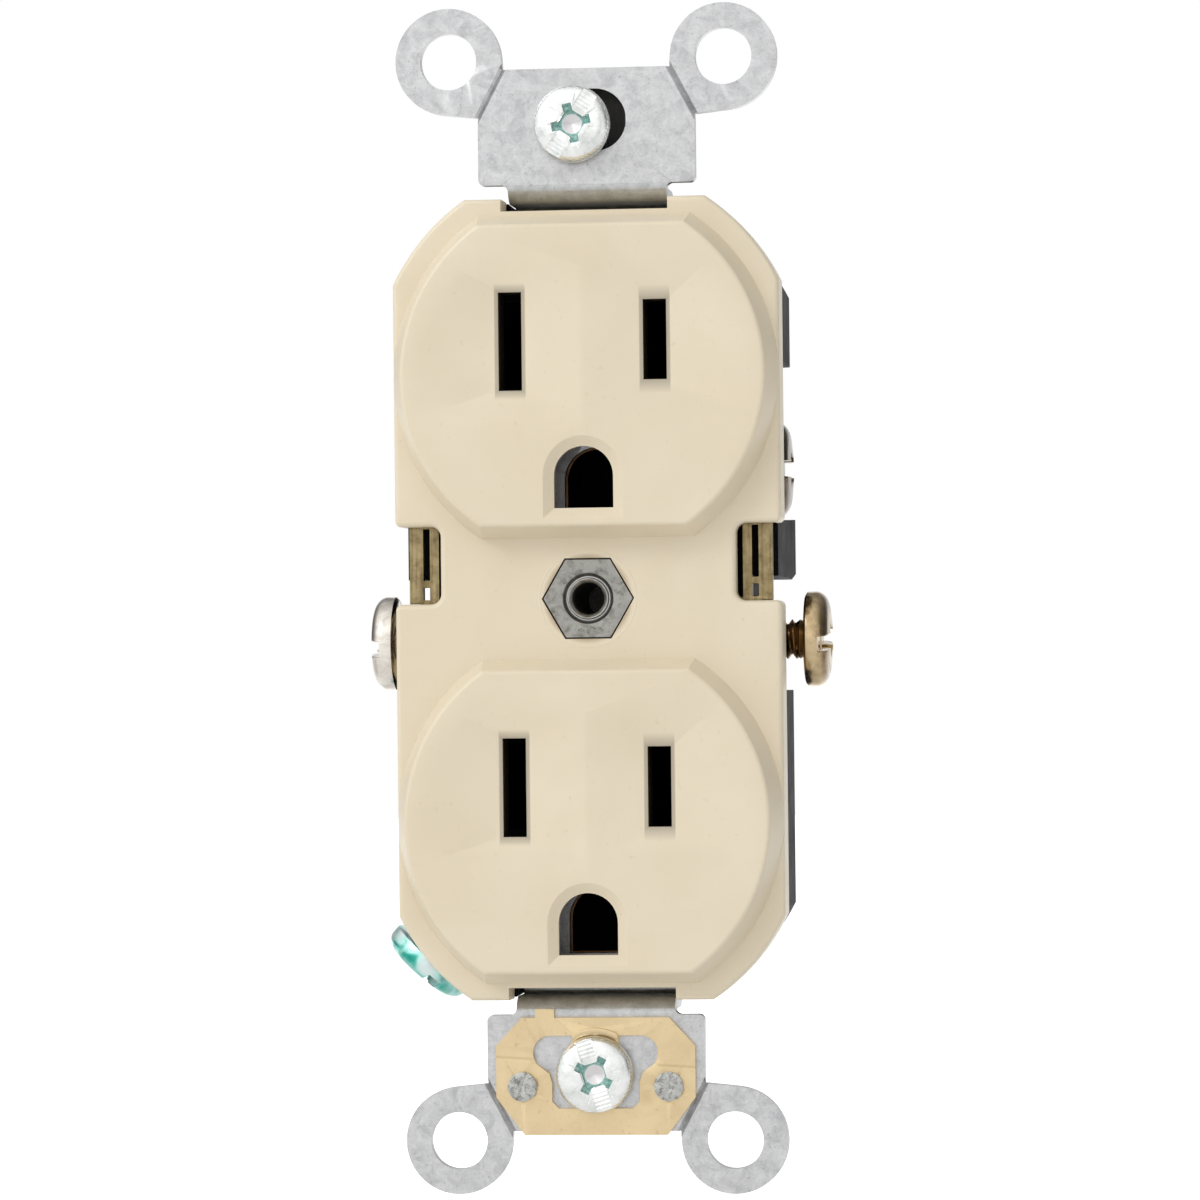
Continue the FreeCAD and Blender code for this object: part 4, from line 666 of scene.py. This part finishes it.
def thread(z0, z1, neck_r):
    """A closed threaded rod from its tip at z0 to z1, mm, with a plain neck up into the head."""
    bm = bmesh.new()
    knots = [0.0, CREST, 0.24, 0.36, ROOT_START, 0.56, ROOT_END, 0.77, 0.88]
    phases = [turn + k for turn in range(-1, int((z1 - z0) / PITCH) + 2) for k in knots]
    columns = []
    for step in range(TURN_STEPS):
        lead = step / TURN_STEPS
        angle = 2 * math.pi * lead
        column = []
        for phase in phases:
            z = min(max(z0 + (phase + lead) * PITCH, z0), z1)
            tip = MAJOR_R - 0.9 * max(0.0, POINT - (z - z0))
            runout = MAJOR_R - (MAJOR_R - MINOR_R) * min(1.0, (z1 - z) / POINT)
            r = min(max(thread_radius(phase), runout), tip)
            column.append(bm.verts.new((r * math.cos(angle), r * math.sin(angle), z)))
        columns.append(column)
    for step, column in enumerate(columns):
        beside = columns[(step + 1) % TURN_STEPS]
        shift = len(knots) if step == TURN_STEPS - 1 else 0
        for i in range(len(column) - 1 - shift):
            bm.faces.new([column[i], beside[i + shift], beside[i + shift + 1], column[i + 1]])
    bmesh.ops.remove_doubles(bm, verts=bm.verts, dist=0.004)

    def cap(end_z, far_z, far_r):
        """Closes the rod from its end's ring of points to a disc of radius far_r at far_z."""
        near = [v for v in bm.verts if abs(v.co.z - end_z) < 1e-4]
        near.sort(key=lambda v: math.atan2(v.co.y, v.co.x))
        ring = []
        for v in near:
            angle = math.atan2(v.co.y, v.co.x)
            ring.append(bm.verts.new((far_r * math.cos(angle), far_r * math.sin(angle), far_z)))
        for k in range(len(near)):
            m = (k + 1) % len(near)
            bm.faces.new([near[k], near[m], ring[m], ring[k]])
        bm.faces.new(ring)

    cap(z0, z0, TIP_R)
    cap(z1, NECK_TOP, neck_r)
    bmesh.ops.recalc_face_normals(bm, faces=bm.faces)
    bmesh.ops.scale(bm, vec=(MM, MM, MM), verts=bm.verts)
    return mesh_from("shank", bm)


def drive_tool(radius, top, slot_depth, turn, nicks):
    """The recess of a combination head: a slot across it, a deeper four-lobed cross and tool nicks."""
    whole = block(-radius - 1, radius + 1, -0.7, 0.7, top - slot_depth, top + 1)
    parts = [block(-1.14, 1.14, -1.14, 1.14, top - 1.2, top + 0.6, 0.14)]
    for angle in (45, 135):
        arm = block(-1.8, 1.8, -0.46, 0.46, top - 1.08, top + 0.8, 0.12)
        arm.data.transform(Matrix.Rotation(math.radians(angle), 4, "Z"))
        parts.append(arm)
    for k in range(nicks):
        nick = block(1.6, 2.6 - 0.3 * (k % 3), -0.06, 0.06, top - 0.4, top + 0.6)
        around = math.radians(24 + 360 * k / nicks + 9 * (k % 2))
        nick.data.transform(Matrix.Rotation(around, 4, "Z"))
        parts.append(nick)
    for part in parts:
        combine(whole, part, "UNION")
    whole.data.transform(Matrix.Rotation(math.radians(turn), 4, "Z"))
    return whole


def head_profile(radius, thickness):
    """Half section of a binding head, from the axis below to the axis above."""
    rim = thickness * 0.40
    crown = thickness * 0.9
    shoulder = radius * 0.36
    points = [(0, UNDER), (radius - 0.28, UNDER), (radius - 0.02, 0.22), (radius, rim)]
    for k in range(1, 11):
        a = math.pi / 2 * k / 10
        points.append((radius - shoulder * (1 - math.cos(a)), rim + (crown - rim) * math.sin(a)))
    flat = radius - shoulder
    for share in (0.7, 0.45, 0.2):
        points.append((flat * share, thickness - (thickness - crown) * share**2))
    return points + [(0, thickness)]


def build_screw(node, thickness, turn, radius, slot_depth, length, neck, neck_r, nicks):
    """A whole screw about +Z with its head's underside at 0: head, recess, neck and rolled thread."""
    head = revolve(node + "_detail", head_profile(radius, thickness))
    tool = drive_tool(radius, thickness, slot_depth, turn, nicks)
    combine(head, tool, "DIFFERENCE")
    round_edges(head, 0.05 * MM, 2, 48)

    shank = thread(-length, -neck, neck_r)
    bm = bmesh.new()
    bm.from_mesh(head.data)
    bm.from_mesh(shank.data)
    bpy.data.objects.remove(shank)
    bm.to_mesh(head.data)
    bm.free()
    smooth(head, 40)
    store_place(head, turn)
    return head


TERMINAL = dict(radius=4.2, slot_depth=1.1, length=6.4, neck=0.5, neck_r=1.5, nicks=0)
BOX = dict(radius=3.4, slot_depth=0.62, length=19.0, neck=5.0, neck_r=1.45, nicks=7)
TURNS = {   # node: how far its slot is turned, degrees
    "line_screw_upper": 90,
    "line_screw_lower": 98,
    "neutral_screw_upper": 90,
    "neutral_screw_lower": 82,
    "mounting_screw_top": 57,
    "mounting_screw_bottom": -73,
    "ground_screw": 65,
}


def screw_axis(node):
    """The way a screw's head points: along its slide, which is stated outwards."""
    return next(Vector(joint["axis"]) for joint in frame["joints"] if joint["child"] == node)


def head_of(node, axis, radius):
    """The middle of a CAD screw head's underside, and the head's height over it in mm."""
    points = [v.co for v in NODES[node].data.vertices]
    side = axis.orthogonal().normalized()
    centre = Vector()
    for across in (side, axis.cross(side)):
        reaches = [p.dot(across) for p in points]
        centre = centre + across * (min(reaches) + max(reaches)) / 2
    along = [p.dot(axis) for p in points]
    reach = RIM_SHARE * radius * MM
    rim = [a for p, a in zip(points, along) if (p - centre - axis * a).length > reach]
    return centre + axis * min(rim), (max(along) - min(rim)) / MM


for node, turn in TURNS.items():
    sizes = BOX if node.startswith("mounting") else TERMINAL
    axis = screw_axis(node)
    seat, height = head_of(node, axis, sizes["radius"])
    screw = build_screw(node, thickness=height, turn=turn, **sizes)
    tilt = Vector((0, 0, 1)).rotation_difference(axis).to_matrix().to_4x4()
    screw.data.transform(Matrix.Translation(seat) @ tilt)
    stand_for(screw, node)

# ------------------------------------------------------------------ stage, light and camera


YAW, PITCH_UP, ROLL = 6.6, -0.9, -0.63              # degrees
DISTANCE = 0.5                                      # lengths in this section are in metres
AIM = Vector((0.65, 0, -0.10)) * MM
SENSOR = 36.0
LENS = 170.43
FLOOR_DROP = 0.012                                  # the floor lies this far under the outlet
FLOOR_GLOW, FAR_GLOW = 0.15, 0.65                   # its own light in front, and what is added far back
BACKDROP = (0.80, 0.95)                             # how far back a direction points where white sets in
GLOW_FROM = (-0.50, -0.70, 0.50)
SIDE_LEVEL, GLOW_LEVEL = 0.27, 1.15
KEY = dict(where=(-0.35, -0.40, 0.38), size=(0.22, 0.22), power=0.84)
FILL = dict(where=(0.45, -0.35, 0.05), size=(0.3, 0.4), power=0.12)


def stage_floor():
    """A pale floor that turns into a lit backdrop behind the outlet."""
    bm = bmesh.new()
    bmesh.ops.create_grid(bm, x_segments=1, y_segments=1, size=2.0)
    floor = mesh_from("floor", bm)
    floor.location = (0, 0, cad_low.z - FLOOR_DROP)
    s = Shade("floor_paper")
    far = s.span(s.axis("Y"), 0.05, 0.18)
    s.bsdf.inputs["Emission Color"].default_value = WHITE
    glow = s.math("ADD", s.math("MULTIPLY", far, FAR_GLOW), FLOOR_GLOW)
    s.join(glow, s.bsdf.inputs["Emission Strength"])
    fibres = s.noise(0.004, 4, 0.6)
    paper = s.ramp(fibres, [(0.3, grey(0.80)), (0.7, grey(0.84))])
    floor.data.materials.append(s.finish(paper, s.span(fibres, 0.2, 0.8, 0.85, 0.95)))


def soft_room():
    """White behind the outlet, a broad glow from the upper left in front, and dimmer sides."""
    world = bpy.data.worlds.new("studio")
    SCENE.world = world
    world.use_nodes = True
    tree = world.node_tree
    tree.nodes.clear()

    def node(kind, operation=None):
        made = tree.nodes.new(kind)
        if operation:
            made.operation = operation
        return made

    def spread(source, low, high, to_low, to_high):
        made = node("ShaderNodeMapRange")
        made.interpolation_type = "SMOOTHSTEP"
        for key, value in (("From Min", low), ("From Max", high), ("To Min", to_low), ("To Max", to_high)):
            made.inputs[key].default_value = value
        tree.links.new(source, made.inputs["Value"])
        return made.outputs["Result"]

    where = node("ShaderNodeTexCoord").outputs["Generated"]
    split = node("ShaderNodeSeparateXYZ")
    tree.links.new(where, split.inputs[0])
    backdrop = spread(split.outputs["Y"], *BACKDROP, 0.0, 1.0)
    toward = node("ShaderNodeVectorMath", "DOT_PRODUCT")
    tree.links.new(where, toward.inputs[0])
    toward.inputs[1].default_value = Vector(GLOW_FROM).normalized()
    glow = spread(toward.outputs["Value"], -0.2, 0.95, SIDE_LEVEL, GLOW_LEVEL)
    brightest = node("ShaderNodeMath", "MAXIMUM")
    tree.links.new(backdrop, brightest.inputs[0])
    tree.links.new(glow, brightest.inputs[1])
    back = node("ShaderNodeBackground")
    back.inputs["Color"].default_value = WHITE
    tree.links.new(brightest.outputs[0], back.inputs["Strength"])
    out = node("ShaderNodeOutputWorld")
    tree.links.new(back.outputs[0], out.inputs["Surface"])


def softbox(name, where, size, power):
    """An area light that faces the outlet."""
    data = bpy.data.lights.new(name, "AREA")
    data.shape = "RECTANGLE"
    data.size, data.size_y = size
    data.energy = power
    lamp = add_object(name, data)
    lamp.location = where
    lamp.rotation_euler = (-Vector(where)).to_track_quat("-Z", "Y").to_euler()


def camera():
    data = bpy.data.cameras.new("camera")
    data.sensor_width = SENSOR
    data.lens = LENS
    data.clip_start, data.clip_end = 0.01, 20
    cam = add_object("camera", data)
    yaw, pitch = math.radians(YAW), math.radians(PITCH_UP)
    away = Vector((math.sin(yaw) * math.cos(pitch), -math.cos(yaw) * math.cos(pitch), math.sin(pitch)))
    cam.location = AIM + away * DISTANCE
    level = (-away).to_track_quat("-Z", "Y").to_matrix()
    cam.rotation_euler = (level @ Matrix.Rotation(math.radians(ROLL), 3, "Z")).to_euler()
    SCENE.camera = cam


stage_floor()
soft_room()
softbox("key", **KEY)
softbox("fill", **FILL)
camera()
